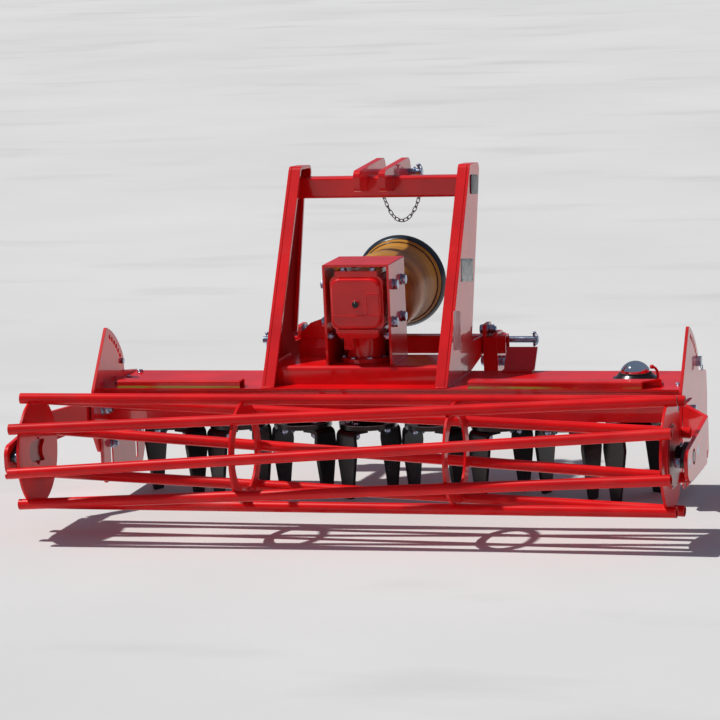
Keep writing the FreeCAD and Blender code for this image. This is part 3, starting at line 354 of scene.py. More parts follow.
# ---- plug and ribs of the gearbox's rear cover --------------------------------------
# Cast with the cover: a rib round the raised field at the right, a rib along the lower
# edge, and a drilled and tapped boss that a socket-head level plug closes.
rotor_line = sum(corner.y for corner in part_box("rotor_hub_1")) / 2   # Y of the rotor shafts
joint_mm = {joint["name"]: (np.array(joint["pos_m"]) - (0, rotor_line, 0)) * 1000
            for joint in frame["joints"]}
head_x = joint_mm["drive_shaft_spin"][0]     # X of the gearbox and the headstock


def box_mm(node):
    """A CAD node's low and high corners, in millimetres with Y from the rotor shafts."""
    return [np.array((corner.x, corner.y - rotor_line, corner.z)) * 1000
            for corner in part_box(node)]


def outward(points, faces):
    """Turns every face round if the solid's signed volume, sum(a . (b x c)) / 6, is negative."""
    volume = 0.0
    for group in faces:
        a = points[group[:, 0]]
        for k in range(1, group.shape[1] - 1):
            b, c = points[group[:, k]], points[group[:, k + 1]]
            volume += np.einsum("ij,ij->", a, np.cross(b, c))
    return points, faces if volume > 0 else [group[:, ::-1] for group in faces]


def closed(grid):
    """A closed solid over points p[i, j]: j runs round, and a fan closes each end on its mean."""
    rings, around = grid.shape[:2]
    points = np.concatenate([grid.reshape(-1, 3), grid[:1].mean(1), grid[-1:].mean(1)])
    i, j = np.meshgrid(np.arange(rings - 1), np.arange(around), indexing="ij")
    a, b = i * around + j, i * around + (j + 1) % around
    quads = np.stack([a, b, b + around, a + around], -1).reshape(-1, 4)
    k, last = np.arange(around), (rings - 1) * around
    after = (k + 1) % around
    low = np.stack([after, k, np.full(around, rings * around)], -1)
    high = np.stack([last + k, last + after, np.full(around, rings * around + 1)], -1)
    return outward(points, [quads, low, high])


def looped(grid):
    """The same for a grid that closes both ways, such as a ring."""
    rings, around = grid.shape[:2]
    i, j = np.meshgrid(np.arange(rings), np.arange(around), indexing="ij")
    a, b = i * around + j, i * around + (j + 1) % around
    c, d = (i + 1) % rings * around + (j + 1) % around, (i + 1) % rings * around + j
    return outward(grid.reshape(-1, 3), [np.stack([a, b, c, d], -1).reshape(-1, 4)])


def sweep(path, radius, sides=10, ring=False, up=(0.13, 0.21, 0.97)):
    """A round bar along a path: p = path + r (n cos t + b sin t), n and b square to the path."""
    path = np.asarray(path, float)
    if ring:
        tangent = np.roll(path, -1, 0) - np.roll(path, 1, 0)
    else:
        tangent = np.gradient(path, axis=0)
    tangent /= np.linalg.norm(tangent, axis=1)[:, None]
    normal = np.cross(tangent, up)
    normal /= np.linalg.norm(normal, axis=1)[:, None]
    across = np.cross(tangent, normal)
    t = np.arange(sides) * 2 * np.pi / sides
    radius = np.broadcast_to(radius, (len(path),))[:, None, None]
    grid = path[:, None] + radius * (normal[:, None] * np.cos(t)[:, None]
                                     + across[:, None] * np.sin(t)[:, None])
    return looped(grid) if ring else closed(grid)


def turned(profile, sides=24, start=0.0):
    """A turned solid about Z from (height, radius) pairs, or (height, radius, flat) for a hexagon.

    In a hexagonal ring the radius is min(radius, flat / cos(t mod 60 - 30)), so that a radius
    between flat and corner gives the round chamfer of a bolt head.
    """
    t = np.arange(sides) * 2 * np.pi / sides
    rows = []
    for height, radius, *flat in profile:
        r = np.full(sides, float(radius))
        if flat:
            r = np.minimum(r, flat[0] / np.cos(np.mod(t, np.pi / 3) - np.pi / 6))
        rows.append(np.stack([r * np.cos(t + start), r * np.sin(t + start),
                              np.full(sides, float(height))], -1))
    return closed(np.array(rows))


def placed(solid, origin, axis=(0, 0, 1)):
    """A solid made about Z, turned so that Z points along an axis, and moved to its place."""
    points, faces = solid
    turn = Vector(axis).to_track_quat("Z", "Y").to_matrix()
    return points @ np.array(turn).T + np.asarray(origin, float), faces


def piece(name, solids, finish, body, sharp=32):
    """Closed solids joined as one piece on a body.

    Solids are in millimetres, X and Z as in the frame and Y from the line of the rotor shafts.
    """
    points, faces, count = [], [], 0
    for p, groups in solids:
        points.append(p)
        for group in groups:
            faces += (group + count).tolist()
        count += len(p)
    points = np.concatenate(points) / 1000 + (0, rotor_line, 0)
    mesh = bpy.data.meshes.new(name)
    mesh.from_pydata(points.tolist(), [], faces)
    mesh.polygons.foreach_set("use_smooth", np.ones(len(mesh.polygons), bool))
    mesh.set_sharp_from_angle(angle=math.radians(sharp))
    mesh.materials.append(finishes[finish])
    obj = bpy.data.objects.new(name, mesh)
    scene.collection.objects.link(obj)
    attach(obj, body)
    return obj


def rounded(corners, radius, steps=6):
    """A polygon's corners turned into arcs, as an array of points in its own plane."""
    corners = np.asarray(corners, float)
    out = []
    for i, corner in enumerate(corners):
        before, after = corners[i - 1] - corner, corners[(i + 1) % len(corners)] - corner
        before, after = before / np.linalg.norm(before), after / np.linalg.norm(after)
        half = math.acos(np.clip(before @ after, -1, 1)) / 2
        reach = min(radius / math.tan(half), radius * 2)
        s = np.linspace(0, 1, steps)[:, None]
        a, b = corner + before * reach, corner + after * reach
        out.append((1 - s) ** 2 * a + 2 * s * (1 - s) * corner + s ** 2 * b)
    return np.concatenate(out)


def slab(outline, depth, edge, level):
    """A plate over a (y, z) outline, with its depth along X and a rounded edge.

    Rows of the outline shrink towards its middle by edge (1 - cos a) as the depth comes to
    each face, which rounds the edge.
    """
    outline = np.asarray(outline, float)
    middle = outline.mean(0)
    reach = np.linalg.norm(outline - middle, axis=1)[:, None]
    turns = np.linspace(0, np.pi / 2, 4)
    insets = np.concatenate([edge * (1 - np.sin(turns)), edge * (1 - np.cos(turns))])
    heights = np.concatenate([edge * (1 - np.cos(turns)), depth - edge * (1 - np.sin(turns))])
    rows = []
    for inset, height in zip(insets, heights):
        flat = outline - (outline - middle) / reach * inset
        rows.append(np.column_stack([np.full(len(flat), level + height), flat]))
    return closed(np.array(rows))


def along(points, spacing=4.0):
    """A polyline resampled evenly."""
    points = np.asarray(points, float)
    lengths = np.concatenate([[0], np.cumsum(np.linalg.norm(np.diff(points, axis=0), axis=1))])
    places = np.linspace(0, lengths[-1], max(3, int(lengths[-1] / spacing) + 1))
    return np.stack([np.interp(places, lengths, points[:, k]) for k in range(3)], -1)


def dress_rear_cover():
    """The plug's socket is a hexagon sunk into its head."""
    face = box_mm("gearbox_rear_cover")[0][1]
    field = [(x, face, z) for x, z in rounded([(-72, 603), (-27, 603), (-27, 672), (-72, 672)], 8)]
    boss_x, boss_z = -108, 638
    boss = [(-2, 15), (2.2, 15), (3.4, 13.6), (3.4, 11.5)]
    solids = [sweep(field, 1.7, 8, ring=True),
              sweep(along([(-184, face, 601), (-78, face, 601)]), 1.8, 8),
              placed(turned(boss), (boss_x, face, boss_z), (0, -1, 0))]
    piece("gearbox_cover_ribs", solids, "red_enamel", "frame")
    plug = [(0, 10.6), (5.0, 10.6), (6.2, 9.6), (6.2, 5.8, 5.0), (2.4, 5.8, 5.0)]
    piece("gearbox_level_plug", [placed(turned(plug), (boss_x, face - 2.2, boss_z), (0, -1, 0))],
          "black_enamel", "frame")


dress_rear_cover()


# ---- bolts of the gearbox and its bracket -------------------------------------------
# Rolled zinc-plated hexagon bolts: washer face, chamfered head, and at the other end a
# nut with the thread standing out of it. Each is turned by hand to no set angle.
# Thread: width across flats, head, nut, washer width and washer thickness.
FASTENERS = {8: (13, 5.3, 6.8, 16, 1.6), 10: (17, 6.4, 8.4, 20, 2.0), 12: (19, 7.5, 10.8, 24, 2.5),
             14: (21, 8.8, 12.8, 26, 2.5), 16: (24, 10.0, 14.8, 30, 3.0),
             20: (30, 12.5, 18.0, 37, 3.0), 24: (36, 15.0, 21.5, 44, 4.0)}
hand = np.random.default_rng(11)     # turns heads, nuts and chain links


def fastener(thread, origin, axis, nut=False, washer=True, stand_out=5.0):
    """A bolt head or a nut on a face: the washer, the hexagon, and the thread past a nut."""
    across, head, nut_height, washer_width, washer_depth = FASTENERS[thread]
    start = hand.uniform(0, math.pi / 3)
    flat, corner = across / 2, across / math.sqrt(3)
    tall = nut_height if nut else head
    solids, base = [], -0.5
    if washer:
        half = washer_width / 2
        solids.append(turned([(base, half), (washer_depth * 0.7, half),
                              (washer_depth, half - 0.6)]))
        base = washer_depth - 0.2
    top = base + tall
    hexagon = [(base, flat * 0.97), (base + tall * 0.1, corner, flat),
               (top - tall * 0.16, corner, flat), (top, flat * 0.95, flat)]
    solids.append(turned(hexagon, 36, start))
    if nut:
        bolt, pitch = thread / 2, 1.5
        rows = [(top - 0.5, bolt)]
        for turn in range(int(stand_out / pitch)):
            rows += [(top + turn * pitch + 0.4, bolt - 0.7), (top + turn * pitch + 1.1, bolt)]
        solids.append(turned(rows + [(rows[-1][0] + 0.8, bolt - 1.2)], 18))
    return [placed(solid, origin, axis) for solid in solids]


def bolt_gearbox():
    """Bolts through the bracket's walls, in the housing's lid, in its foot and on the deck."""
    left, right = (corner[0] for corner in box_mm("gearbox_bracket"))
    wall, foot_radius, foot_y, foot_thickness = 8, 72, 22, 16
    outside, inside = [], []
    for y, z in ((-21, 693), (-41, 574), (82, 694), (68, 575)):
        outside += fastener(20, (right, y, z), (1, 0, 0))
    for y, z in ((-35, 697), (-41, 574), (82, 694), (68, 575)):
        outside += fastener(20, (left, y, z), (-1, 0, 0))
    piece("bracket_wall_bolts", outside, "zinc_plate", "frame")
    pad = box_mm("gearbox_housing")[1][2]
    for x in (head_x - 44, head_x + 52):
        for y in (-58, 66):
            inside += fastener(12, (x, y, pad), (0, 0, 1))
    for x, side in ((left + wall, 1), (right - wall, -1)):
        for y in (-58, 60):
            inside += fastener(14, (x, y, 531), (side, 0, 0), nut=True)
    piece("bracket_inner_bolts", inside, "zinc_plate", "frame")
    top = box_mm("headstock_base_beam")[1][2] + foot_thickness
    foot = []
    for k in range(8):
        turn = math.radians(22.5 + 45 * k)
        foot += fastener(10, (head_x + foot_radius * math.cos(turn),
                              foot_y + foot_radius * math.sin(turn), top), (0, 0, 1), washer=False)
    piece("gearbox_foot_bolts", foot, "zinc_plate", "frame")


bolt_gearbox()


# ---- splined end of the drive shaft -------------------------------------------------
# Turned from alloy steel bar, then hobbed: six straight-sided splines, a locking groove
# near the end and a chamfer. It takes the place of the plain bar and turns with it.
def spline_shaft():
    """r(t) = root + (tip - root) s, where s steps smoothly from 0 in a gap to 1 on a tooth."""
    tip, root, teeth = 17.5, 14.6, 6
    low, high = box_mm("pto_shaft")
    centre, start, end = (low + high) / 2, low[1], high[1]
    bare = box_mm("gearbox_housing")[1][1]
    rows = [(start, 0, 0), (bare, 0, 0), (bare + 6, 0, 0), (bare + 14, 1, 0)]
    rows += [(end - 33, 1, 0), (end - 31, 1, 2.9), (end - 24, 1, 2.9), (end - 22, 1, 0),
             (end - 4, 1, 0), (end, 1, 3.2)]
    t = np.arange(144) * 2 * np.pi / 144
    tooth = np.clip((np.cos(teeth * t) + 0.28) / 0.36, 0, 1)
    grid = []
    for y, cut, less in rows:
        r = np.minimum(tip - (tip - root) * (1 - tooth) * cut, tip - less)
        grid.append(np.stack([centre[0] + r * np.cos(t), np.full(len(t), y),
                              centre[2] + r * np.sin(t)], -1))
    shaft = piece("splined_shaft", [closed(np.array(grid))], "bare_steel", "drive_shaft", sharp=25)
    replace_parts(shaft, "pto_shaft")


spline_shaft()


# ---- screws of the guard ------------------------------------------------------------
# Three zinc-plated M8 screws with wide washers, a third of a turn apart, hold the bell
# to the flange of the gearbox's collar.
def guard_screws():
    """They stand on a circle, the first at the top."""
    low, high = box_mm("pto_guard")
    centre, circle = (low + high) / 2, 92
    solids = []
    for turn in (90, 210, 330):
        a = math.radians(turn)
        solids += fastener(8, (centre[0] + circle * math.cos(a), low[1],
                               centre[2] + circle * math.sin(a)), (0, -1, 0))
    piece("guard_screws", solids, "zinc_plate", "frame")


guard_screws()


# ---- weld beads of the headstock ----------------------------------------------------
# Hand-laid fillet beads under the enamel, with the ripple that the weaving torch leaves.
# They join the masts, the crossbar, the deck, the bracket, the hitch beam and the ears.
def bead(points, radius=4.0):
    """A bead along a path; its radius ripples by 9 % every 5 mm and runs out at the ends."""
    spacing = 1.7
    path = along(points, spacing)
    s = np.arange(len(path)) * spacing
    r = radius * (1 + 0.09 * np.sin(2 * np.pi * s / 5.0) + 0.05 * np.sin(s / 9.0))
    r *= np.sqrt(np.clip(np.minimum(s, s[-1] - s) / (2 * radius), 0.05, 1))
    return sweep(path, r, 8)


def weld_headstock():
    """Each bead runs 1 mm off the faces that it joins, and turns the corners of its part."""
    web, flange, wall, ear = 10, 41, 110.5, 11
    left, right = box_mm("headstock_mast_left")[0][0], box_mm("headstock_mast_right")[1][0]
    middle, half = (left + right) / 2, (right - left) / 2
    foot = box_mm("trough_cover")[1][2] + 1
    (_, rear, _), (_, front, deck) = box_mm("headstock_base_beam")
    (_, b0, z0), (_, b1, z1) = box_mm("headstock_crossbar")
    (_, beam, beam_low), (_, _, beam_high) = box_mm("hitch_beam")
    b0, b1, z0, deck = b0 - 1, b1 + 1, z0 - 1, deck + 1
    beads = []
    for side in (-1, 1):
        outside, inside = middle + side * half, middle + side * (half - web)
        lip, plate = middle + side * (half - flange), middle + side * wall
        beads.append(bead([(outside, -148, foot), (outside, 170, foot)]))
        beads.append(bead([(lip, -157, foot), (outside, -157, foot)]))
        beads.append(bead([(inside, b0, z0), (inside, b1, z0), (inside, b1, z1 + 1),
                           (inside, b0, z1 + 1), (inside, b0, z0)], 4.2))
        beads.append(bead([(inside, rear - 1, foot + 3), (inside, rear - 1, deck - 7),
                           (inside, rear + 8, deck), (inside, front - 8, deck),
                           (inside, front + 1, deck - 7), (inside, front + 1, foot + 3)], 4.0))
        beads.append(bead([(outside, beam - 1, beam_low + 2), (outside, beam - 1, beam_high - 1)],
                          3.6))
        beads.append(bead([(plate, -70, deck), (plate, 118, deck)], 3.6))
    for centre in (-168, -82):
        for x in (centre - ear, centre + ear):
            beads.append(bead([(x, b0, z1 - 44), (x, b0, z1 - 2), (x, b0 + 5, z1 + 1),
                               (x, b1 - 5, z1 + 1), (x, b1, z1 - 4), (x, b1, z1 - 52)], 3.4))
    beads.append(bead([(-356, 127, deck), (-226, 127, deck)], 3.2))
    piece("headstock_welds", beads, "red_enamel", "frame", sharp=60)


weld_headstock()


# ---- blank plates on the right mast -------------------------------------------------
# A rounded black plastic plate at the top, a riveted aluminium plate below it and a
# worn patch of pale film, none of them marked.
def mast_plates():
    """Corners are (y, z) on the mast's outer face."""
    face = box_mm("headstock_mast_right")[1][0]
    sunk = face - 0.3
    dark = rounded([(268, 1010), (366, 998), (355, 935), (257, 947)], 14)
    piece("mast_dark_plate", [slab(dark, 3.5, 1.2, sunk)], "black_plastic", "frame")
    corners = [(98, 757), (256, 735), (245, 661), (87, 683)]
    centre = np.mean(corners, 0)
    rivets = []
    for corner in corners:
        y, z = centre + (np.array(corner) - centre) * 0.86
        rivets.append(placed(turned([(0, 3.8), (1.0, 3.6), (2.0, 2.4), (2.3, 0.8)], 18),
                             (face + 1.2, y, z), (1, 0, 0)))
    piece("mast_blank_plate", [slab(rounded(corners, 5), 1.8, 0.5, sunk)], "aluminium", "frame")
    piece("mast_plate_rivets", rivets, "zinc_plate", "frame")
    film = rounded([(-32, 606), (62, 592), (42, 468), (-52, 482)], 10)
    piece("mast_worn_film", [slab(film, 0.7, 0.2, sunk)], "pale_film", "frame")


def worn_film(name):
    """Pale vinyl film, scuffed through to the red below and dulled by the weather."""
    material, tree, shader, place = new_material(name)
    scuffs = ramp(tree, noise(tree, place, 22.0, 6.0, (1.0, 1.0, 0.5)), 0.44, 0.62)
    tree.links.new(mixed(tree, scuffs, linear("#D9CFC9"), linear("#C2726E")),
                   shader.inputs["Base Color"])
    shader.inputs["Roughness"].default_value = 0.45
    return material


finishes["pale_film"] = worn_film("worn pale film")
finishes["aluminium"] = plated("satin aluminium", "#A9ACAB", "#8F9392", 0.42)
mast_plates()


# ---- band of the guard --------------------------------------------------------------
# The bell flares once more at its mouth and carries a thick black rubber band, pushed on
# and rolled over the lip; a thin moulded line marks where the flare starts.
def guard_band():
    """Both are lathe forms: a closed profile (y, r) carried round the shaft's axis."""
    low, high = box_mm("pto_guard_rim")
    centre, start, end = (low + high) / 2, low[1], high[1]
    mouth = high[0] - centre[0]
    band, rear, wall, lip = end - start, mouth - 18, 5.0, 26.0

    def lathe(profile, sides=96):
        t = np.arange(sides) * 2 * np.pi / sides
        y, r = np.array(profile, float).T
        grid = np.stack([centre[0] + r[:, None] * np.cos(t),
                         np.broadcast_to(y[:, None], (len(y), sides)),
                         centre[2] + r[:, None] * np.sin(t)], -1)
        return looped(grid)

    def cone(y):
        return rear + (mouth - rear) * (y - start) / band

    edge = end - lip
    under = cone(edge + 6) - 2.5
    flare = [(start, cone(start) - wall), (start, cone(start) - 1.5),
             (start + 2, cone(start + 2) - 0.4), (edge + 6, under), (edge + 6, under - wall)]
    piece("guard_flare", [lathe(flare)], "amber_plastic", "frame", sharp=40)
    turn = np.linspace(0, np.pi / 2, 5)
    rubber = [(edge, cone(edge) - 8), (edge, cone(edge) - 1.4), (edge + 1.4, cone(edge + 1.4))]
    rubber += [(end - 6 + 6 * math.sin(a), mouth - 6 + 5.8 * math.cos(a)) for a in turn]
    rubber += [(end - 0.4, mouth - 9), (end - 5, mouth - 10)]
    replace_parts(piece("guard_rubber_band", [lathe(rubber)], "black_plastic", "frame", sharp=40),
                "pto_guard_rim")
    t = np.linspace(0, 2 * np.pi, 96, endpoint=False)
    line = np.stack([centre[0] + (rear - 1.6) * np.cos(t), np.full(96, start + 0.5),
                     centre[2] + (rear - 1.6) * np.sin(t)], -1)
    piece("guard_moulded_line", [sweep(line, 1.9, 8, ring=True, up=(0, 1, 0))], "black_plastic",
          "frame")


guard_band()


# ---- linch pins ---------------------------------------------------------------------
# Zinc-plated linch pins through the ends of the hitch pins: a headed peg with a sprung
# wire ring that is hinged on the head and snaps round the far side of the pin.
def linch(centre, reach, swing):
    """A peg across an X-wise pin of radius reach, and its ring: a circle round the pin's end."""
    x, y, z = centre
    top, peg = reach + 9, 4.6
    path = [(x, y, z - reach - 12), (x, y, z + top)]
    solids = [sweep(along(path, 3.0), peg, 12),
              placed(turned([(0, peg), (1, peg + 3), (6, peg + 3.4), (8, peg + 1)]),
                     (x, y, z + top - 2))]
    loop = reach + 8
    t = np.linspace(0, 2 * np.pi, 40, endpoint=False)
    lean = math.radians(swing)
    ring = np.stack([x + 4 + loop * (1 - np.cos(t)) * math.sin(lean) + 3 * np.sin(t) ** 2,
                     y + loop * np.sin(t) * 0.95, z + 2 + loop * 1.05 * np.cos(t)], -1)
    solids.append(sweep(ring, 1.9, 8, ring=True, up=(1, 0, 0)))
    return solids


def linch_pins():
    """The lower pins carry theirs 14 mm from the end, the top one 12 mm, behind a collar."""
    for name, side in (("left", -1), ("right", 1)):
        low, high = box_mm("lower_link_pin_" + name)
        y, z = (low[1:] + high[1:]) / 2
        end = (low if side < 0 else high)[0]
        tip = [(-4, 10.8), (0.2, 10.8), (2.2, 8.6)]
        solids = linch((end - side * 14, y, z), 11, swing=4)
        solids.append(placed(turned(tip), (end - side * 2.6, y, z), (side, 0, 0)))
        piece("lower_linch_pin_" + name, solids, "zinc_plate", "frame")
    low, high = box_mm("top_link_pin")
    y, z = (low[1:] + high[1:]) / 2
    collar = [(0, 15.5), (0.6, 18.2), (5.4, 18.2), (6, 15.5)]
    solids = linch((high[0] - 12, y, z), 12.5, swing=3)
    solids.append(placed(turned(collar, 36), (high[0] - 29, y, z), (1, 0, 0)))
    piece("top_link_linch_pin", solids, "zinc_plate", "frame")


linch_pins()


# ---- retaining chain ----------------------------------------------------------------
# Light steel chain, every link bent from 3.4 mm wire and welded, hung between the left ear
# and the linch pin of the top-link pin so that neither is lost.
def chain():
    """Links on a catenary z = z0 + a cosh((s - s0) / a), each a stadium turned 90 degrees on."""
    start, end, drop = np.array((-172.0, 501.0, 962.0)), np.array((-24.0, 503.0, 974.0)), 136.0
    wire, half_width, half_straight, pitch = 1.7, 5.6, 4.4, 15.6
    s = np.linspace(0, 1, 400)[:, None]
    path = start + (end - start) * s
    span = np.linalg.norm(end - start)
    lo, hi = 5.0, 2000.0
    for _ in range(60):
        a = (lo + hi) / 2
        lo, hi = (a, hi) if a * (math.cosh(span / 2 / a) - 1) > drop else (lo, a)
    path[:, 2] += (a * np.cosh((s - 0.5) * span / a) - a * math.cosh(span / 2 / a))[:, 0]
    path[:, 1] += 4 * np.sin(s * 9)[:, 0]
    centres = along(path, pitch)
    directions = np.gradient(centres, axis=0)
    directions /= np.linalg.norm(directions, axis=1)[:, None]
    t = np.linspace(0, 2 * np.pi, 20, endpoint=False)
    wide = half_width * np.sin(t)
    long = half_width * np.cos(t) + half_straight * np.sign(np.cos(t))
    solids = []
    for k, (centre, run) in enumerate(zip(centres, directions)):
        side = np.cross(run, (0, 1, 0))
        side /= np.linalg.norm(side)
        turn = math.radians(45 + 90 * (k % 2) + hand.uniform(-14, 14))
        across = side * math.cos(turn) + np.cross(run, side) * math.sin(turn)
        link = centre + long[:, None] * run + wide[:, None] * across
        solids.append(sweep(link, wire, 6, ring=True, up=np.cross(run, across)))
    return solids


piece("retaining_chain", chain(), "bare_steel", "frame")


# ---- clamp bolts of the lower hitch -------------------------------------------------
# One M20 bolt above the hitch beam and one below it pull the plates of each clamp on. A
# turned washer, painted with the clamp, lies on the shoulder of each pin.
def clamp_bolts():
    """The upper bolt holds the inner plate only, the lower one goes through both."""
    low, high = box_mm("hitch_beam")
    y, plate = low[1] + 22, 12
    above, below = high[2] + 20, low[2] - 26
    solids, faces = [], {}
    for name, side in (("left", -1), ("right", 1)):
        sides = (corner[0] for corner in box_mm("hitch_clamp_" + name))
        inner, outer = sorted(sides, key=lambda x: abs(x - head_x))
        for z, far, out in ((above, inner + side * plate, 6), (below, outer, 8)):
            solids += fastener(20, (inner, y, z), (-side, 0, 0))
            solids += fastener(20, (far, y, z), (side, 0, 0), nut=True, stand_out=out)
        faces[name] = side, outer
    piece("clamp_bolts", solids, "zinc_plate", "frame")
    for name, (side, outer) in faces.items():
        low, high = box_mm("lower_link_pin_" + name)
        y, z = (low[1:] + high[1:]) / 2
        ring = [(0, 21), (0.5, 24), (5.5, 24), (6, 21)]
        piece("pin_washer_" + name,
              [placed(turned(ring, 36), (outer - side * 0.4, y, z), (side, 0, 0))],
              "red_enamel", "frame")


clamp_bolts()


# ---- bolts of the shields and pivots ------------------------------------------------
# The shields hang on two wide-washered bolts in their slots, a nut holds each roller
# pivot from inside, and a wire ring keeps each depth pin in its hole.
def shield_and_pivot_bolts():
    """Heads are outside and nuts inside; each ring hangs from its depth pin's head."""
    plate_inner, plate_outer = (corner[0] for corner in box_mm("side_plate_right"))
    shield_inner = box_mm("side_shield_right")[0][0]
    _, pivot_y, pivot_z = joint_mm["roller_depth"]
    shield, pivot = [], []
    for side in (-1, 1):
        for y in (-118, 128):
            shield += fastener(12, (side * plate_outer, y, 186), (side, 0, 0))
            shield += fastener(16, (side * shield_inner, y, 186), (-side, 0, 0), nut=True)
        pivot += fastener(24, (side * plate_inner, pivot_y, pivot_z), (-side, 0, 0), nut=True,
                          stand_out=9)
    piece("shield_bolts", shield, "zinc_plate", "frame")
    piece("pivot_nuts", pivot, "zinc_plate", "frame")
    low, high = box_mm("depth_pins")
    y, z = (low[1:] + high[1:]) / 2
    t = np.linspace(0, 2 * np.pi, 32, endpoint=False)
    rings = []
    for side, x in ((-1, low[0] + 5), (1, high[0] - 5)):
        ring = np.stack([x + side * 3.5 * (1 - np.cos(t)), y + 15 * np.sin(t),
                         z - 12 + 17 * np.cos(t)], -1)
        rings.append(sweep(ring, 1.6, 8, ring=True, up=(1, 0, 0)))
    piece("depth_pin_rings", rings, "zinc_plate", "frame")


shield_and_pivot_bolts()


# ---- bolts of the cover -------------------------------------------------------------
# The lid of the trough is screwed down at its ends on a gasket, which shows as a dark
# line under its edge.
def cover_bolts():
    """Three bolts at each end and two along the rear edge."""
    (_, _, under), (_, _, top) = box_mm("trough_cover")
    places = [(x, y) for x in (-930, 930) for y in (-88, 26, 140)] + [(872, -88), (838, -88)]
    solids = []
    for x, y in places:
        solids += fastener(10, (x, y, top), (0, 0, 1))
    piece("cover_bolts", solids, "zinc_plate", "frame")
    (_, rear, _), (_, front, _) = box_mm("trough_pan")
    half_length, level = 950, under - 1.6
    lines = [along([(-half_length, y, level), (half_length, y, level)], 60)
             for y in (rear - 0.6, front + 0.6)]
    piece("cover_gasket", [sweep(line, 1.8, 8) for line in lines], "rubber", "frame")


def rubber(name):
    """Black rubber, a little grey with dust."""
    material, tree, shader, place = new_material(name)
    dust = ramp(tree, noise(tree, place, 30.0, 5.0), 0.5, 0.8)
    tree.links.new(mixed(tree, dust, linear("#141414"), linear("#35322F")),
                   shader.inputs["Base Color"])
    shader.inputs["Roughness"].default_value = 0.7
    return material


finishes["rubber"] = rubber("black rubber")
cover_bolts()


# ---- fittings of the filler cap -----------------------------------------------------
# A rubber seal under the chromed dome, four screws through its black flange and a small
# red lever beside it.
def cap_fittings():
    """The screws lean outward by the slope of the flange's rim."""
    low, high = box_mm("bearing_cap_base")
    x, y, _ = (low + high) / 2
    seal = [(0, 49), (0.8, 51.5), (4.2, 51.5), (5, 48)]
    piece("cap_seal", [placed(turned(seal, 64), (x, y, high[2] - 0.8))], "rubber", "frame")
    circle, rim, lean = 66, low[2] + 9.5, 0.5
    screws = []
    for turn in (20, 110, 200, 290):
        c, s = math.cos(math.radians(turn)), math.sin(math.radians(turn))
        screws += fastener(8, (x + circle * c, y + circle * s, rim), (lean * c, lean * s, 1),
                           washer=False)
    piece("cap_screws", screws, "zinc_plate", "frame")
    bar = along([(x + 70, y - 6, 379), (x + 74, y - 6, 394), (x + 72, y - 7, 412),
                 (x + 66, y - 9, 422), (x + 56, y - 11, 426)], 3.0)
    lever = [sweep(bar, 4.2, 12),
             placed(turned([(-3, 9), (0, 12), (4, 12), (6, 9)]), (x + 70, y - 6, 378)),
             placed(turned([(-6, 3), (-4, 6.4), (3, 7), (6, 4)]), bar[-1], (-0.6, -0.5, 0.2))]
    piece("cap_lever", lever, "red_enamel", "frame")


cap_fittings()


# ---- rotors: bolts, worn rims and seals ---------------------------------------------
# Each tine's foot is held under the disc by two bolts with their heads on top. A thin bare
# steel ring lies on the rim of the disc; a labyrinth ring closes the gap to the bearing boss.
def dress_rotors():
    """Neighbours stand 83 degrees apart, so that their tines pass each other."""
    disc_thickness, foot_thickness, bolt_radius, bolt_aside, rim_radius = 16, 12, 68, 20, 94.3
    seals = []
    for i in range(1, 9):
        low, high = box_mm("rotor_hub_%d" % i)
        x = (low[0] + high[0]) / 2
        disc, foot = low[2] + disc_thickness, low[2] - foot_thickness
        phase = math.radians((-27, 56)[(i - 1) % 2])
        bolts = []
        for half_turn in (0, math.pi):
            c, s = math.cos(phase + half_turn), math.sin(phase + half_turn)
            for aside in (-bolt_aside, bolt_aside):
                px, py = x + bolt_radius * c - aside * s, bolt_radius * s + aside * c
                bolts += fastener(14, (px, py, disc), (0, 0, 1), washer=False)
                bolts += fastener(14, (px, py, foot), (0, 0, -1), nut=True, stand_out=5)
        piece("rotor_bolts_%d" % i, bolts, "zinc_plate", "rotor_%d" % i)
        t = np.linspace(0, 2 * np.pi, 72, endpoint=False)
        rim = np.stack([x + rim_radius * np.cos(t), rim_radius * np.sin(t),
                        np.full(72, disc - 0.6)], -1)
        piece("rotor_rim_%d" % i, [sweep(rim, 1.3, 8, ring=True, up=(0, 0, 1))], "bare_steel",
              "rotor_%d" % i)
        heights, radii = np.array([(2, 40), (2, 50), (4, 51.5), (6.2, 51.5), (6.2, 40)]).T
        t = t[:, None]
        seals.append(looped(np.stack([x + radii * np.cos(t), radii * np.sin(t),
                                      np.broadcast_to(disc + heights, (72, 5))], -1)))
    piece("rotor_seals", seals, "rubber", "frame")


dress_rotors()


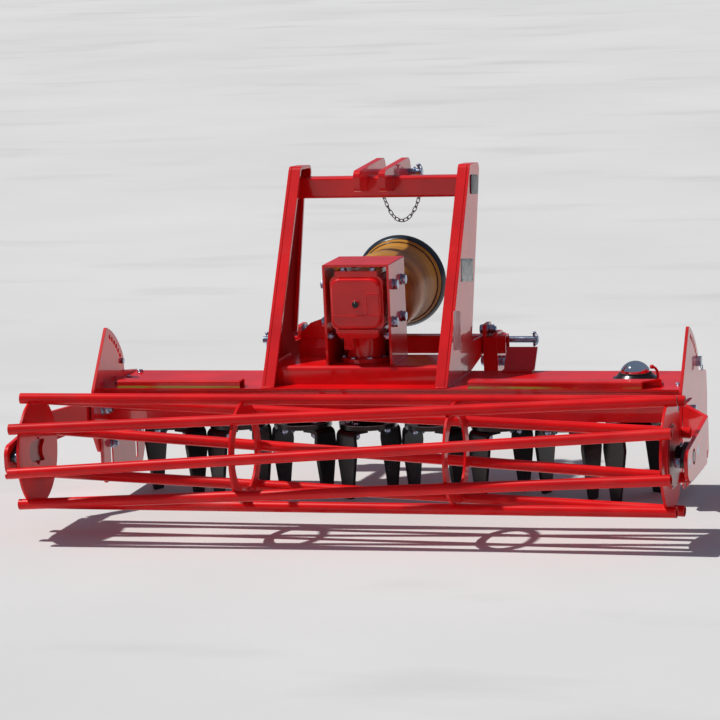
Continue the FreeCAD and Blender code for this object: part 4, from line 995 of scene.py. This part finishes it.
# ---- welds of the roller ------------------------------------------------------------
# Every tube is welded into its seats along the arc that lies in each disc or ring, and
# the flanges of the stub axles are welded all round.
def weld_roller():
    """Tube i runs from angle 78 - 45 i on the left disc to 45 degrees further on the right."""
    _, axis_y, axis_z = joint_mm["roller_spin"]
    half, ends = box_mm("roller_tubes")[1][0], box_mm("roller_end_discs")[1][0]
    radius, tube, flange, disc, ring_places, ring_half = 178.5, 16.85, 95.5, 8, (-324, 345), 4
    faces = [(disc - ends, 1), (ends - disc, -1)]
    for x in ring_places:
        faces += [(x - ring_half, -1), (x + ring_half, 1)]

    def seat(x, degrees):
        a = math.radians(degrees)
        return np.array((x, axis_y - radius * math.cos(a), axis_z + radius * math.sin(a)))

    beads = []
    for i in range(8):
        left, right = seat(-half, 78 - 45 * i), seat(half, 78 - 45 * i + 45)
        for x, side in faces:
            centre = left + (right - left) * (x + side + half) / (2 * half)
            inward = np.array((0, axis_y - centre[1], axis_z - centre[2]))
            inward /= np.linalg.norm(inward)
            across = np.cross(inward, (1, 0, 0))
            t = np.radians(np.linspace(-66, 66, 20))[:, None]
            beads.append(bead(centre + (tube + 0.5) * (inward * np.cos(t) + across * np.sin(t)),
                              2.8))
    piece("roller_tube_welds", beads, "red_enamel", "roller", sharp=60)
    t = np.linspace(0, 2 * np.pi, 140)
    flanges = [bead(np.stack([np.full(140, side * (ends + 0.8)), axis_y + flange * np.cos(t),
                              axis_z + flange * np.sin(t)], -1), 3.6) for side in (-1, 1)]
    piece("stub_flange_welds", flanges, "red_enamel", "roller", sharp=60)


weld_roller()


# ---- bearings of the roller ---------------------------------------------------------
# Cast two-bolt flanged bearings: countersunk bolts that lie flush in the arm, nuts inside,
# and a grease nipple that stands back from the arm.
def dress_bearings():
    """A bearing's two bolts stand on a line tilted by 4 degrees."""
    _, axis_y, axis_z = joint_mm["roller_spin"]
    reach, tilt, arm = 75, math.radians(4), box_mm("roller_arm_right")[1][0]
    flush = [(-4, 9.0), (-0.2, 15.5), (0.1, 15.3), (0.1, 9.0), (0.02, 8.0)]
    nipple = [(0, 4.0), (1, 6.4, 5.6), (6, 6.4, 5.6), (7, 3.2), (10, 3.2), (11, 2.2), (13, 3.4),
              (15, 1.8)]
    stub = [(0, 17.0), (0.6, 15.6), (0.6, 5.0), (-4.0, 0.6)]
    for name, side in (("left", -1), ("right", 1)):
        outer, plate = side * arm, side * (arm - 28)
        bolts = []
        for way in (-1, 1):
            y = axis_y + way * reach * math.cos(tilt)
            z = axis_z + way * reach * math.sin(tilt)
            bolts.append(placed(turned(flush, 36), (outer, y, z), (side, 0, 0)))
            bolts += fastener(16, (plate, y, z), (-side, 0, 0), nut=True, stand_out=4)
        piece("bearing_bolts_" + name, bolts, "zinc_plate", "roller_frame")
        piece("grease_nipple_" + name,
              [placed(turned(nipple, 18), (side * (arm - 34), axis_y - 14, axis_z + 33),
                      (0, -0.38, 0.92))], "zinc_plate", "roller_frame")
        piece("stub_axle_face_" + name,
              [placed(turned(stub, 36), (outer - side * 0.5, axis_y, axis_z), (side, 0, 0))],
              "bare_steel", "roller")


dress_bearings()


# ---- hooks on the roller arms -------------------------------------------------------
# A hook bent from round bar and welded to the lower edge of each arm, where a scraper chain
# can be hung.
def arm_hooks():
    """The bar's path is smoothed three times by p[i] = (p[i - 1] + 2 p[i] + p[i + 1]) / 4."""
    solids, arm = [], box_mm("roller_arm_right")[1][0]
    for side in (-1, 1):
        x = side * (arm - 3.6)
        path = [(x, -738, 232), (x, -744, 216), (x, -752, 203), (x, -764, 197),
                (x, -772, 202), (x, -774, 212)]
        curve = along(path, 2.0)
        for _ in range(3):
            curve[1:-1] = (curve[:-2] + curve[1:-1] * 2 + curve[2:]) / 4
        solids.append(sweep(curve, 3.4, 10))
    piece("arm_hooks", solids, "red_enamel", "roller_frame")


arm_hooks()
